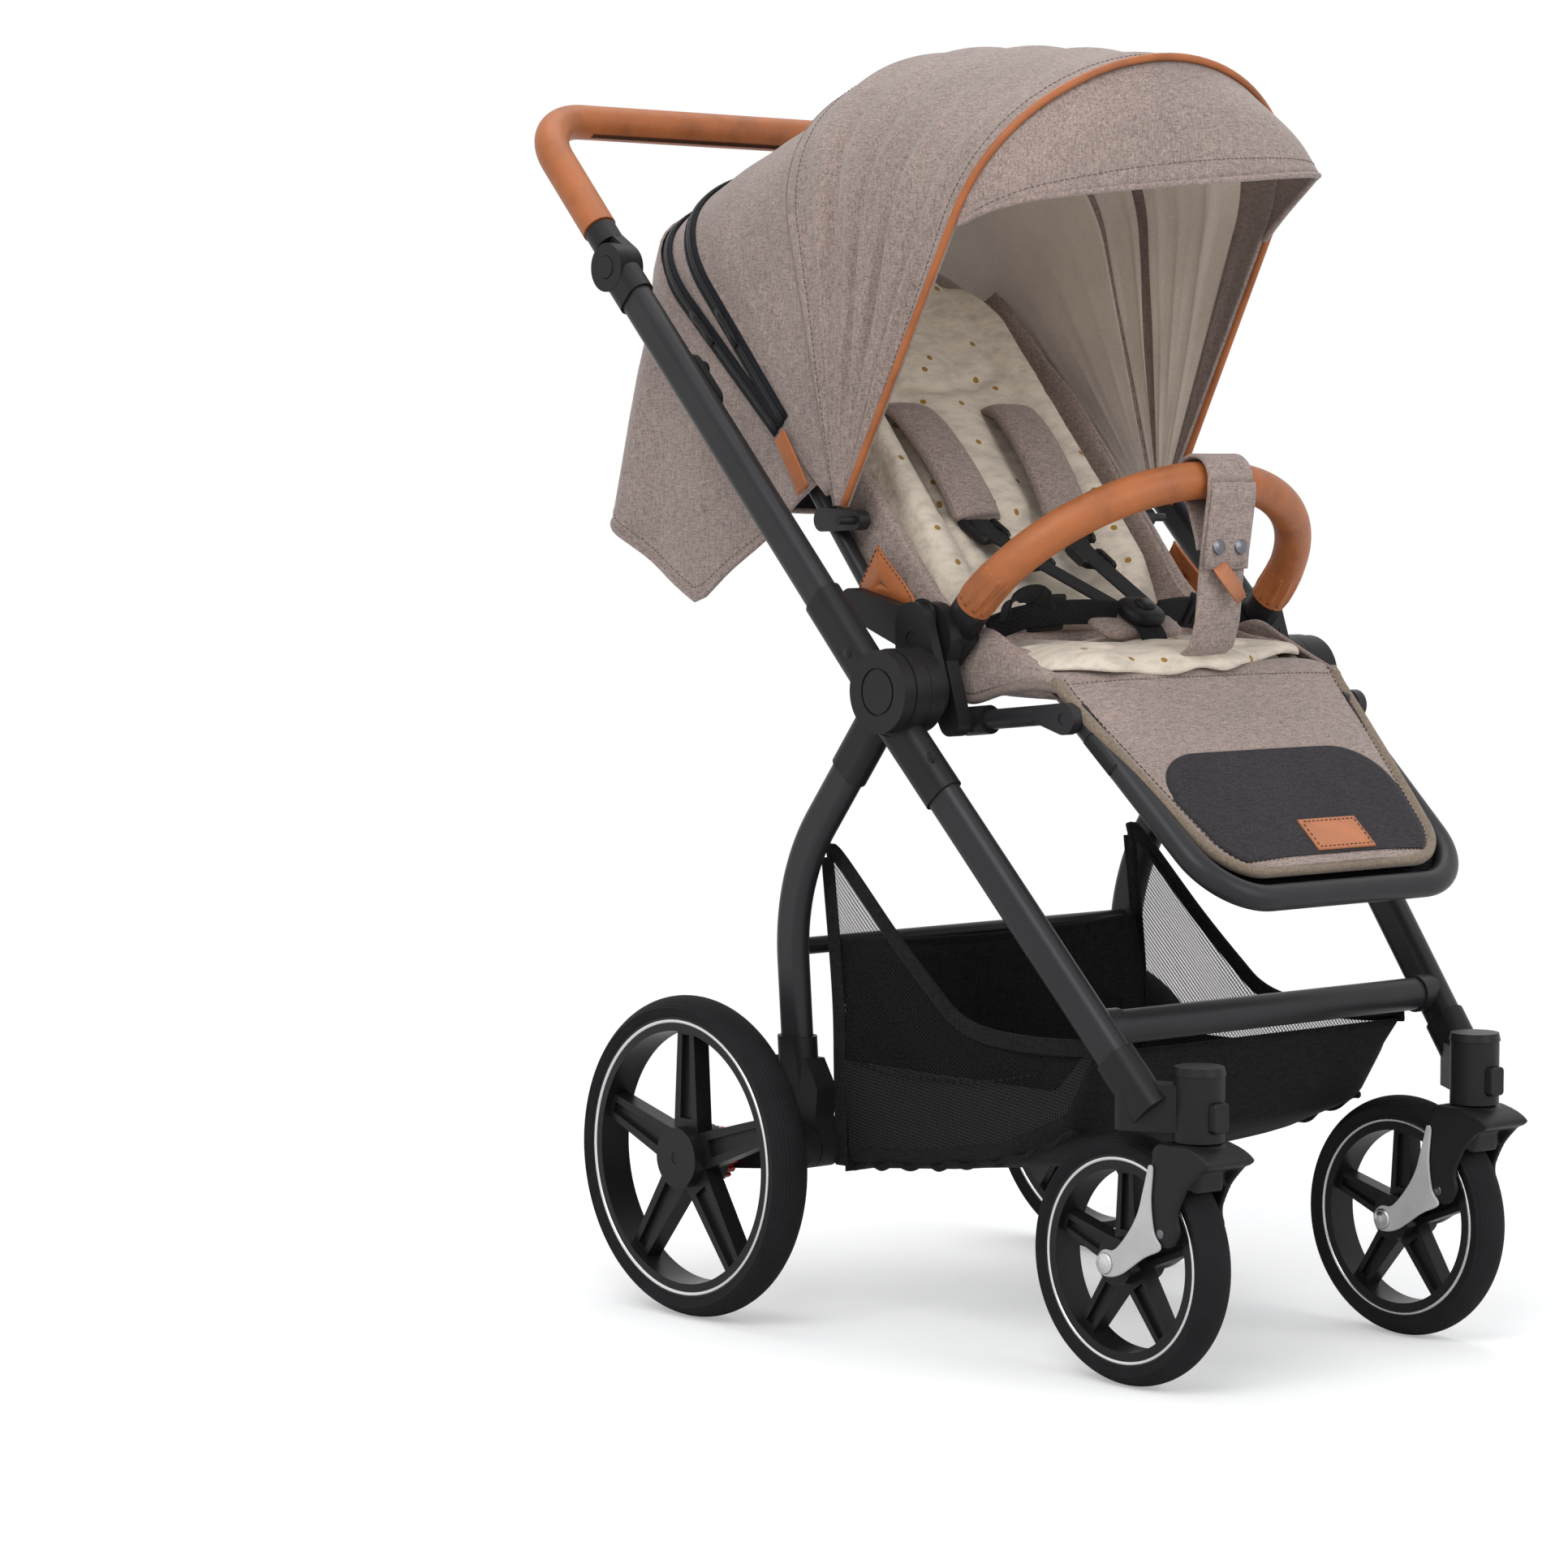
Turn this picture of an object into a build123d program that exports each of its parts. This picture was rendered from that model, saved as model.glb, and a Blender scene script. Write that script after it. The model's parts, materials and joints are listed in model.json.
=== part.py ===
"""Baby stroller: folding four-wheel chassis with a reclining seat unit, canopy and shopping basket.

Millimetres, +Z up, front of the stroller towards -Y, "left" is +X. The origin is on the floor,
in the middle of the footprint.
"""
import os
from math import cos, radians, sin

from build123d import *

os.makedirs("parts", exist_ok=True)

SIDES = (("left", 1), ("right", -1))
RUN_FIT = 0.05  # radial clearance of turning pins
SEAT_FIT = 0.2  # clearance of tubes in their sockets
GAP = 0.5  # free gap between neighbouring pieces

# Wheels and axles
FRONT_AXLE_Y = -327
FRONT_TYRE_R = 110
FRONT_WHEEL_X = 176
FRONT_TYRE_HALF = 19
FRONT_RING_R = 91
CASTER_Y = FRONT_AXLE_Y - 80
REAR_AXLE_Y = FRONT_AXLE_Y + 490
REAR_TYRE_R = 150.5
REAR_WHEEL_X = 266.5
REAR_TYRE_HALF = 21
REAR_RING_R = 130
SPOKES = 5
AXLE_R = 6

# Chassis hub: fold axis, and the slabs |X| = inner..outer of its three discs
HUB_Y = FRONT_AXLE_Y + 220
HUB_Z = 595
HUB_R = 38
REAR_DISC = (228, 245)
LEG_DISC = (245.5, 262)
PUSH_DISC = (262.5, 276)
HUB_PIN_R = 6

# Front legs: centre-line points (|X|, Y, Z) and flat-oval section (depth, width)
LEG_FOOT = (204.6, FRONT_AXLE_Y - 47.5, 250)
LEG_HEAD = (256.0, FRONT_AXLE_Y + 250.7, 600)
LEG_SECTION = (36, 22)
SLEEVE_SECTION = (41, 26.5)
CROSSBAR_Z = 312
CROSSBAR_R = 14.8

# Rear legs: path in a plane that leans inwards, from the hub axis (along Y, along the leg plane)
REAR_LEG_X = 231.5
REAR_LEG_LEAN = 0.065
REAR_LEG_PATH = ((56, -33.5), (186, -183), (186, -352))
REAR_LEG_BEND = 200
REAR_LEG_SECTION = (36, 19)
PIVOT_Y = FRONT_AXLE_Y + 379
PIVOT_Z = 167
CROSS_TUBE_R = 12
SWING_ARM = (220, 231)

# Push tubes and handle
PUSH_X = 260
PUSH_TILT = 44.3  # degrees back from vertical
PUSH_POINT = (259, 956)  # a point (Y, Z) on the tube's centre line
JOINT_Y = 283
JOINT_Z = 980
HANDLE_TILT = 43.6
HANDLE_REACH = 204
HANDLE_HALF = 253
HANDLE_BEND = 58
GRIP_R = 16.8
HANDLE_CORE_R = 12

# Seat unit: recline axis, backrest and seat pan
SEAT_Y = HUB_Y + 10
SEAT_Z = 640
SEAT_PLATE = (195, 210)
BACK_TILT = 40
BACK_FOOT = (-70, 610)  # front face of the shell where back and pan meet
BACK_LENGTH = 519
BACK_THICK = 40
SHELL_HALF = 166
PAN_FRONT = -258
PAN_THICK = 18
LINER_HALF = 146
LINER_THICK = 21
BACK_TUBE_X = 176
BACK_TUBE_R = 8
BASE_TUBE_X = 178
BASE_TUBE_R = 9

# Leg rest: hinge axis and U-frame
KNEE_Y = FRONT_AXLE_Y + 78
KNEE_Z = 574
LEG_REST_TILT = 42
LEG_REST_REACH = 223
LEG_REST_HALF = (164, 155)  # at the hinge, at the foot
LEG_REST_R = 11.5

# Bumper bar: end of the bar (|X|, Y, Z), lean forward, reach, tube radius
BUMPER_END = (188, FRONT_AXLE_Y + 194, 666)
BUMPER_LEAN = 44.4
BUMPER_REACH = 161
BUMPER_R = 17

# Canopy: pivot and hoops as (angle back from vertical, half width, height)
CANOPY_Y = FRONT_AXLE_Y + 351
CANOPY_Z = 744
CANOPY_WALL = 5
CANOPY_FOOT = 32
MIDDLE_FOOT = 66
FRONT_HOOPS = ((-28.5, 200.5, 470), (-20, 201, 452), (-12, 201, 442))
MIDDLE_HOOPS = ((-11.9, 201, 442), (2, 201.5, 438), (9, 201.5, 443), (16, 201.5, 436))
REAR_HOOPS = ((14, 194, 424), (26, 194, 428), (38, 193, 446), (50, 191, 474))
VISOR_HOOPS = ((-28.5, 200.5, 470), (-36, 190, 449), (-42, 160, 414))

# Basket: half width, wall, and the outlines (Y, Z) of its sides and of its inside
BASKET_HALF = 196
BASKET_WALL = 4
BASKET_SIDE = (
    (-305, 292), (-266, 209), (-182, 174), (-20, 147), (34, 143), (37, 300), (56, 438), (44, 438), (-115, 292)
)
BASKET_INSIDE = (
    (-310, 306), (-262, 212), (-181, 178), (-20, 151), (30, 147), (33, 300), (55, 460), (-115, 460),
    (-320, 330),
)
BASKET_BACK_Z = 352
BASKET_BACK_CUT = 90


def save(builder, name):
    """Label a finished piece and write it."""
    builder.part.label = name
    export_step(builder.part, f"parts/{name}.step")


def slab(side, near, far):
    """Plane parallel to YZ at the lower-X face of the slab |X| = near..far on one side."""
    return Plane.YZ.offset(near if side > 0 else -far)


def along(base, direction, lateral=(1, 0, 0)):
    """Plane across a direction; its x axis is square to it and to the lateral axis."""
    z_dir = Vector(*direction).normalized()
    return Plane(origin=base, x_dir=Vector(*lateral).cross(z_dir), z_dir=z_dir)


def leg_point(side, z):
    """Centre of a front leg at height z."""
    share = (z - LEG_FOOT[2]) / (LEG_HEAD[2] - LEG_FOOT[2])
    x = LEG_FOOT[0] + share * (LEG_HEAD[0] - LEG_FOOT[0])
    y = LEG_FOOT[1] + share * (LEG_HEAD[1] - LEG_FOOT[1])
    return Vector(side * x, y, z)


def tube_between(low, high, section, mode=Mode.ADD):
    """Flat-oval tube between two points, added to or cut from the current part."""
    with BuildSketch(along(low, high - low)) as outline:
        SlotOverall(*section)
    extrude(outline.sketch, amount=(high - low).length, mode=mode)


def grown(section, by):
    """A section enlarged all round."""
    return tuple(size + 2 * by for size in section)


def push_point(side, reach):
    """Point of a push tube, measured along it from the height of the hub."""
    tilt = radians(PUSH_TILT)
    foot_y = PUSH_POINT[0] - (PUSH_POINT[1] - HUB_Z) * sin(tilt) / cos(tilt)
    return Vector(side * PUSH_X, foot_y + reach * sin(tilt), HUB_Z + reach * cos(tilt))


def rear_leg_plane(side):
    """Plane of a rear leg's path, leaning inwards towards the floor."""
    return Plane(
        origin=(side * REAR_LEG_X, HUB_Y, HUB_Z),
        x_dir=(0, 1, 0),
        z_dir=(1, 0, -side * REAR_LEG_LEAN),
    )


def lateral_cylinder(side, near, far, y, z, radius, mode=Mode.ADD):
    """Cylinder along X through the slab |X| = near..far."""
    with BuildSketch(slab(side, near, far)) as outline:
        with Locations((y, z)):
            Circle(radius)
    extrude(outline.sketch, amount=far - near, mode=mode)


# Front frame
LEG_SOCKET_Z = 262
LEG_TOP_Z = 545
for name, side in SIDES:
    with BuildPart() as front_leg:
        tube_between(leg_point(side, LEG_SOCKET_Z), leg_point(side, LEG_TOP_Z), LEG_SECTION)
    save(front_leg, f"front_leg_{name}")

crossbar_y = leg_point(1, CROSSBAR_Z).Y
crossbar_half = leg_point(1, CROSSBAR_Z).X
with BuildPart() as front_crossbar:
    with BuildSketch(Plane.YZ.offset(-crossbar_half)):
        with Locations((crossbar_y, CROSSBAR_Z)):
            Circle(CROSSBAR_R)
    extrude(amount=2 * crossbar_half)
    for _, side in SIDES:
        lateral_cylinder(side, crossbar_half - 24, crossbar_half, crossbar_y, CROSSBAR_Z, CROSSBAR_R + 2.2)
    for _, side in SIDES:
        leg_dir = leg_point(side, 600) - leg_point(side, 500)
        with BuildSketch(along(leg_point(side, CROSSBAR_Z - 60), leg_dir)):
            SlotOverall(*grown(LEG_SECTION, 0.02))
            with Locations((0, side * 20)):
                Rectangle(60, 40)
        extrude(amount=160, mode=Mode.SUBTRACT)
save(front_crossbar, "front_crossbar")

# Chassis hubs: a disc, a sleeve and the fold pin on each front leg
ADAPTER = (217.5, 227.5)
ADAPTER_PIN_R = 7
SLEEVE_LOW_Z = 505
SLEEVE_HIGH_Z = 578
for name, side in SIDES:
    with BuildPart() as leg_hub:
        lateral_cylinder(side, *LEG_DISC, HUB_Y, HUB_Z, HUB_R)
        tube_between(leg_point(side, SLEEVE_LOW_Z), leg_point(side, SLEEVE_HIGH_Z), SLEEVE_SECTION)
        clear_out = (LEG_DISC[1], LEG_DISC[1] + 30)
        lateral_cylinder(side, *clear_out, HUB_Y, HUB_Z, HUB_R + 2, mode=Mode.SUBTRACT)
        clear_in = (LEG_DISC[0] - 30, LEG_DISC[0])
        lateral_cylinder(side, *clear_in, HUB_Y, HUB_Z, HUB_R + 3, mode=Mode.SUBTRACT)
        pocket = (leg_point(side, SLEEVE_LOW_Z - 5), leg_point(side, LEG_TOP_Z + SEAT_FIT))
        tube_between(*pocket, grown(LEG_SECTION, SEAT_FIT), mode=Mode.SUBTRACT)
        lateral_cylinder(side, ADAPTER[0], PUSH_DISC[1] - 3, HUB_Y, HUB_Z, HUB_PIN_R)
    save(leg_hub, f"hub_housing_{name}")

# Seat adapters: sockets that stand up from the hubs and carry the seat's recline pins
with BuildPart() as adapters:
    for _, side in SIDES:
        with BuildSketch(slab(side, *ADAPTER)):
            with Locations((HUB_Y, HUB_Z)):
                Circle(30)
            with Locations((SEAT_Y, SEAT_Z + 12)):
                Circle(21)
            make_hull()
        extrude(amount=ADAPTER[1] - ADAPTER[0])
        with BuildSketch(slab(side, ADAPTER[0] - 5, ADAPTER[0])):
            with Locations((SEAT_Y, SEAT_Z + 8)):
                SlotOverall(56, 34, rotation=90)
        extrude(amount=5)
        with BuildSketch(Plane.XY.offset(SEAT_Z + 40)):
            with Locations((side * (ADAPTER[0] + 1), SEAT_Y)):
                Rectangle(7, 22)
        extrude(amount=-14, mode=Mode.SUBTRACT)
        lateral_cylinder(side, 205, 230, SEAT_Y, SEAT_Z, ADAPTER_PIN_R + RUN_FIT, mode=Mode.SUBTRACT)
        lateral_cylinder(side, 205, 230, HUB_Y, HUB_Z, HUB_PIN_R + RUN_FIT, mode=Mode.SUBTRACT)
save(adapters, "seat_adapters")

# Caster housings at the feet of the front legs
HOUSING_R = 22
HOUSING_LOW, HOUSING_HIGH = 222, 279
STEM_R = 6
for name, side in SIDES:
    socket = leg_point(side, 272)
    with BuildPart() as housing:
        with BuildSketch(Plane.XY.offset(HOUSING_LOW)):
            with Locations((side * FRONT_WHEEL_X, CASTER_Y)):
                Circle(HOUSING_R)
        extrude(amount=HOUSING_HIGH - HOUSING_LOW)
        with BuildSketch(Plane.XY.offset(HOUSING_HIGH)):
            with Locations((side * FRONT_WHEEL_X, CASTER_Y)):
                Circle(HOUSING_R + 1)
        extrude(amount=7, taper=12)
        with BuildSketch(Plane.XY.offset(HOUSING_LOW + 8)):
            with Locations((side * FRONT_WHEEL_X, CASTER_Y)):
                Circle(15)
            with Locations((socket.X, socket.Y)):
                Circle(13)
            make_hull()
        extrude(amount=40)
        tube_between(leg_point(side, 246), leg_point(side, 290), SLEEVE_SECTION)
        with BuildSketch(Plane.XY.offset(HOUSING_LOW)):
            with Locations((side * FRONT_WHEEL_X, CASTER_Y)):
                Circle(STEM_R + RUN_FIT)
        extrude(amount=44, mode=Mode.SUBTRACT)
        with BuildSketch(Plane.XZ.offset(-CASTER_Y + HOUSING_R - 9)):
            with Locations((side * FRONT_WHEEL_X, HOUSING_LOW + 22)):
                RectangleRounded(18.4, 26.4, 4.2)
        extrude(amount=20, mode=Mode.SUBTRACT)
        pocket = (leg_point(side, LEG_SOCKET_Z), leg_point(side, LEG_SOCKET_Z + 50))
        tube_between(*pocket, grown(LEG_SECTION, SEAT_FIT), mode=Mode.SUBTRACT)
    save(housing, f"caster_housing_{name}")

    with BuildPart() as swivel_lock:
        with BuildSketch(Plane.XZ.offset(-CASTER_Y + HOUSING_R - 4.5)):
            with Locations((side * FRONT_WHEEL_X, HOUSING_LOW + 22)):
                RectangleRounded(17.6, 25.6, 4)
        extrude(amount=10)
        fillet(swivel_lock.faces().sort_by(Axis.Y)[0].edges(), 1.5)
    save(swivel_lock, f"swivel_lock_{name}")


# Wheels
def wheel_plane(x, y, z):
    """Plane through a wheel's axle: x along the axle, y along a radius."""
    return Plane(origin=(x, y, z), x_dir=(1, 0, 0), z_dir=(0, -1, 0))


def wheel(prefix, name, side, x, y, radius, half, ring_r, hub_half):
    """Tyre and spoked rim of one wheel."""
    axle = Axis((side * x, y, radius), (1, 0, 0))
    plane = wheel_plane(side * x, y, radius)
    rim_r = ring_r + 1.5
    rim_half = half * 0.78
    with BuildPart() as tyre:
        with BuildSketch(plane):
            with BuildLine():
                shoulder = rim_r + 0.45 * (radius - rim_r)
                Polyline((half, shoulder), (rim_half, rim_r), (-rim_half, rim_r), (-half, shoulder))
                ThreePointArc((-half, shoulder), (0, radius), (half, shoulder))
            make_face()
        revolve(axis=axle)
    save(tyre, f"{prefix}_tyre_{name}")

    rim_depth = 13
    hub_r = 0.19 * radius
    with BuildPart() as rim:
        with BuildSketch(plane):
            with Locations((0, rim_r - GAP / 2 - rim_depth / 2)):
                Rectangle(2 * rim_half, rim_depth)
            with Locations((0, hub_r / 2)):
                Rectangle(2 * hub_half, hub_r)
        revolve(axis=axle)
        spoke_half = 0.42 * half
        spoke_low, spoke_high = 0.8 * hub_r, rim_r - rim_depth / 2
        with BuildSketch(Plane.YZ.offset(side * x - spoke_half)):
            with Locations((y, radius)):
                with PolarLocations(0, SPOKES, start_angle=90):
                    with BuildLine(mode=Mode.PRIVATE) as outline:
                        Polyline(
                            (spoke_low, -0.115 * radius),
                            (spoke_high, -0.075 * radius),
                            (spoke_high, 0.075 * radius),
                            (spoke_low, 0.115 * radius),
                            close=True,
                        )
                    add(make_face(outline.line.edges(), mode=Mode.PRIVATE))
        extrude(amount=2 * spoke_half)
        for face_x in (side * x - spoke_half, side * x + spoke_half):
            with BuildSketch(Plane.YZ.offset(face_x)):
                with Locations((y, radius)):
                    with PolarLocations(0, SPOKES, start_angle=90):
                        with BuildLine(mode=Mode.PRIVATE) as channel:
                            Polyline(
                                (1.25 * hub_r, -0.055 * radius),
                                (rim_r - rim_depth - 4, -0.034 * radius),
                                (rim_r - rim_depth - 4, 0.034 * radius),
                                (1.25 * hub_r, 0.055 * radius),
                                close=True,
                            )
                        add(make_face(channel.line.edges(), mode=Mode.PRIVATE))
            extrude(amount=0.55 * spoke_half, both=True, mode=Mode.SUBTRACT)
        with BuildSketch(plane):
            with Locations((0, (AXLE_R + RUN_FIT) / 2)):
                Rectangle(3 * hub_half, AXLE_R + RUN_FIT)
        revolve(axis=axle, mode=Mode.SUBTRACT)
    save(rim, f"{prefix}_rim_{name}")


for name, side in SIDES:
    wheel("rear", name, side, REAR_WHEEL_X, REAR_AXLE_Y, REAR_TYRE_R, REAR_TYRE_HALF, REAR_RING_R, 21)
    wheel("front", name, side, FRONT_WHEEL_X, FRONT_AXLE_Y, FRONT_TYRE_R, FRONT_TYRE_HALF, FRONT_RING_R, 21)


# Rear frame: hub discs with sleeves, bent legs, feet and cross tube
def rear_leg_point(side, reach):
    """Point on the straight upper run of a rear leg, measured from the start of its tube."""
    start, bend = Vector(*REAR_LEG_PATH[0]), Vector(*REAR_LEG_PATH[1])
    local = start + (bend - start).normalized() * reach
    return rear_leg_plane(side).from_local_coords(local)


def rear_leg_wire(side):
    """Centre line of a rear leg."""
    with BuildLine(rear_leg_plane(side)) as route:
        FilletPolyline(*REAR_LEG_PATH, radius=REAR_LEG_BEND)
    return route.wire()


with BuildPart() as rear_hubs:
    for _, side in SIDES:
        normal = tuple(rear_leg_plane(side).z_dir)
        lateral_cylinder(side, *REAR_DISC, HUB_Y, HUB_Z, HUB_R)
        head, mouth = rear_leg_point(side, -38), rear_leg_point(side, 58)
        with BuildSketch(along(head, mouth - head, normal)):
            SlotOverall(41, 23)
        extrude(amount=(mouth - head).length)
        lateral_cylinder(side, 200, REAR_DISC[0], HUB_Y, HUB_Z, HUB_R + 4, mode=Mode.SUBTRACT)
        lateral_cylinder(side, *REAR_DISC, HUB_Y, HUB_Z, HUB_PIN_R + RUN_FIT, mode=Mode.SUBTRACT)
        lateral_cylinder(side, REAR_DISC[1], 300, HUB_Y, HUB_Z, 150, mode=Mode.SUBTRACT)
        floor = rear_leg_point(side, -SEAT_FIT)
        with BuildSketch(along(floor, mouth - head, normal)):
            SlotOverall(*grown(REAR_LEG_SECTION, SEAT_FIT))
        extrude(amount=80, mode=Mode.SUBTRACT)
save(rear_hubs, "rear_hubs")

for name, side in SIDES:
    leg_route = rear_leg_wire(side)
    with BuildPart() as rear_leg:
        with BuildSketch(along(leg_route @ 0, leg_route % 0, tuple(rear_leg_plane(side).z_dir))):
            SlotOverall(*REAR_LEG_SECTION)
        sweep(path=leg_route)
    save(rear_leg, f"rear_leg_{name}")

FOOT = (196, 219)
FOOT_OUTLINE = ((57, 248), (101, 248), (97, 215), (70, 168), (33, 168), (43, 196), (40, 222))
ARM_PIN_R = 7
with BuildPart() as rear_feet:
    for _, side in SIDES:
        leg_route = rear_leg_wire(side)
        normal = tuple(rear_leg_plane(side).z_dir)
        with BuildSketch(slab(side, *FOOT)):
            with BuildLine():
                Polyline(*FOOT_OUTLINE, close=True)
            make_face()
            with Locations((PIVOT_Y, PIVOT_Z)):
                Circle(19)
        extrude(amount=FOOT[1] - FOOT[0])
        with BuildSketch(along(leg_route @ 1, leg_route % 1, normal)):
            SlotOverall(43, 26)
        extrude(amount=22)
        with BuildSketch(along(leg_route @ 1, leg_route % 1, normal)):
            SlotOverall(43, 26)
        extrude(amount=-24)
        with BuildSketch(along(leg_route @ 1, leg_route % 1, normal)):
            SlotOverall(*grown(REAR_LEG_SECTION, SEAT_FIT))
        extrude(amount=-40, mode=Mode.SUBTRACT)
        lateral_cylinder(side, 180, 207.2, PIVOT_Y, PIVOT_Z, CROSS_TUBE_R + SEAT_FIT, mode=Mode.SUBTRACT)
        lateral_cylinder(side, 200, 230, PIVOT_Y, PIVOT_Z, ARM_PIN_R + RUN_FIT, mode=Mode.SUBTRACT)
save(rear_feet, "rear_feet")

CROSS_HALF = 207
BRACE_HALF = 205.4
BRACE_Y = 79
BRACE_Z = 350
BRACE_R = 8
with BuildPart() as cross_tube:
    with BuildSketch(Plane.YZ.offset(-CROSS_HALF)):
        with Locations((PIVOT_Y, PIVOT_Z)):
            Circle(CROSS_TUBE_R)
    extrude(amount=2 * CROSS_HALF)
    with BuildSketch(Plane.YZ.offset(-BRACE_HALF)):
        with Locations((BRACE_Y, BRACE_Z)):
            Circle(BRACE_R)
    extrude(amount=2 * BRACE_HALF)
save(cross_tube, "rear_cross_tubes")

# Swing arms with stub axles, and toothed brake rings on the wheels
BRAKE_RING = (233, 245.3)
BRAKE_RING_R = 25
BRAKE_NOTCHES = 16
for name, side in SIDES:
    with BuildPart() as swing_arm:
        with BuildSketch(slab(side, *SWING_ARM)):
            with Locations((PIVOT_Y, PIVOT_Z)):
                Circle(19)
            with Locations((REAR_AXLE_Y, REAR_TYRE_R)):
                Circle(15)
            make_hull()
        extrude(amount=SWING_ARM[1] - SWING_ARM[0])
        lateral_cylinder(side, 208, SWING_ARM[0], PIVOT_Y, PIVOT_Z, ARM_PIN_R)
        lateral_cylinder(side, SWING_ARM[1], REAR_WHEEL_X + 20.5, REAR_AXLE_Y, REAR_TYRE_R, AXLE_R)
    save(swing_arm, f"swing_arm_{name}")

    with BuildPart() as brake_ring:
        lateral_cylinder(side, *BRAKE_RING, REAR_AXLE_Y, REAR_TYRE_R, BRAKE_RING_R)
        lateral_cylinder(side, *BRAKE_RING, REAR_AXLE_Y, REAR_TYRE_R, AXLE_R + 2, mode=Mode.SUBTRACT)
        with BuildSketch(slab(side, *BRAKE_RING)):
            with Locations((REAR_AXLE_Y, REAR_TYRE_R)):
                with PolarLocations(BRAKE_RING_R, BRAKE_NOTCHES):
                    Rectangle(8, 5)
        extrude(amount=BRAKE_RING[1] - BRAKE_RING[0], mode=Mode.SUBTRACT)
    save(brake_ring, f"brake_ring_{name}")

PEDAL_HALF = 42
with BuildPart() as brake_pedal:
    with BuildSketch(Plane.YZ.offset(-PEDAL_HALF)):
        with Locations((PIVOT_Y, PIVOT_Z)):
            Circle(CROSS_TUBE_R + 3.5)
        with BuildLine():
            Polyline((PIVOT_Y, 181), (124, 178), (132, 170), (122, 166), (PIVOT_Y, 158), close=True)
        make_face()
    extrude(amount=2 * PEDAL_HALF)
    with BuildSketch(Plane.YZ.offset(-PEDAL_HALF)):
        with Locations((PIVOT_Y, PIVOT_Z)):
            Circle(CROSS_TUBE_R + RUN_FIT)
    extrude(amount=2 * PEDAL_HALF, mode=Mode.SUBTRACT)
    with BuildSketch(Plane.XY.offset(190)):
        with Locations((0, 105)):
            with GridLocations(14, 1, 5, 1):
                RectangleRounded(5, 34, 2.4)
    extrude(amount=-12.5, mode=Mode.SUBTRACT)
save(brake_pedal, "brake_pedal")

# Caster forks: crown, two legs, stem; steel plates and axle bolt
FORK_HALF = 29
WHEEL_ROOM = 22.5
TYRE_ROOM_R = FRONT_TYRE_R + 4.5
CROWN_TOP = 221
FORK_OUTLINE = (
    (CASTER_Y - 21, CROWN_TOP), (CASTER_Y + 21, CROWN_TOP), (-350, 186), (-313, 114), (-341, 100), (-421, 180)
)
PLATE_OUTLINE = ((-398, 172), (-372, 190), (-322, 121), (-318, 103), (-334, 98), (-362, 128))
for name, side in SIDES:
    middle = side * FRONT_WHEEL_X
    with BuildPart() as fork:
        with BuildSketch(Plane.YZ.offset(middle - FORK_HALF)):
            with BuildLine():
                Polyline(*FORK_OUTLINE, close=True)
            make_face()
            with Locations((FRONT_AXLE_Y, FRONT_TYRE_R)):
                Circle(14)
        extrude(amount=2 * FORK_HALF)
        with BuildSketch(Plane.XY.offset(CROWN_TOP)):
            with Locations((middle, CASTER_Y)):
                Circle(21)
            with Locations((middle, FRONT_AXLE_Y + 30)):
                Rectangle(2 * FORK_HALF, 200)
        extrude(amount=-140, mode=Mode.INTERSECT)
        with BuildSketch(Plane.YZ.offset(middle - WHEEL_ROOM)):
            with Locations((FRONT_AXLE_Y, FRONT_TYRE_R)):
                Circle(TYRE_ROOM_R)
        extrude(amount=2 * WHEEL_ROOM, mode=Mode.SUBTRACT)
        with BuildSketch(Plane.XY.offset(CROWN_TOP)):
            with Locations((middle, CASTER_Y)):
                Circle(STEM_R)
        extrude(amount=40)
        with BuildSketch(Plane.YZ.offset(middle - 40)):
            with Locations((FRONT_AXLE_Y, FRONT_TYRE_R)):
                Circle(AXLE_R + RUN_FIT)
        extrude(amount=80, mode=Mode.SUBTRACT)
    save(fork, f"caster_fork_{name}")

    with BuildPart() as fork_plates:
        for face in (middle - FORK_HALF - 2.7, middle + FORK_HALF + 0.2):
            with BuildSketch(Plane.YZ.offset(face)):
                with BuildLine():
                    Polyline(*PLATE_OUTLINE, close=True)
                make_face()
                with Locations((FRONT_AXLE_Y, FRONT_TYRE_R)):
                    Circle(12)
            extrude(amount=2.5)
        with BuildSketch(Plane.YZ.offset(middle - FORK_HALF - 5)):
            with Locations((FRONT_AXLE_Y, FRONT_TYRE_R)):
                Circle(AXLE_R)
        extrude(amount=2 * FORK_HALF + 10)
        for face in (middle - FORK_HALF - 6.2, middle + FORK_HALF + 2.7):
            with BuildSketch(Plane.YZ.offset(face)):
                with Locations((FRONT_AXLE_Y, FRONT_TYRE_R)):
                    RegularPolygon(8, 6)
            extrude(amount=3.5)
    save(fork_plates, f"fork_plates_{name}")


def sweep_round(route, radius, mode=Mode.ADD):
    """Round bar along a wire, added to or cut from the current part."""
    with BuildSketch(Plane(origin=route @ 0, z_dir=route % 0)) as outline:
        Circle(radius)
    sweep(outline.sketch, path=route, mode=mode)


def round_between(start, end, radius, mode=Mode.ADD):
    """Round bar between two points."""
    start, end = Vector(*start), Vector(*end)
    with BuildSketch(Plane(origin=start, z_dir=end - start)) as outline:
        Circle(radius)
    extrude(outline.sketch, amount=(end - start).length, mode=mode)


def u_wire(plane, half, start, reach, bend, end_half=None):
    """U-shaped centre line in a plane: two arms and a cross run with rounded corners."""
    far = end_half or half
    with BuildLine(plane) as route:
        FilletPolyline((-half, start), (-far, reach), (far, reach), (half, start), radius=bend)
    return route.wire()


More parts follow.
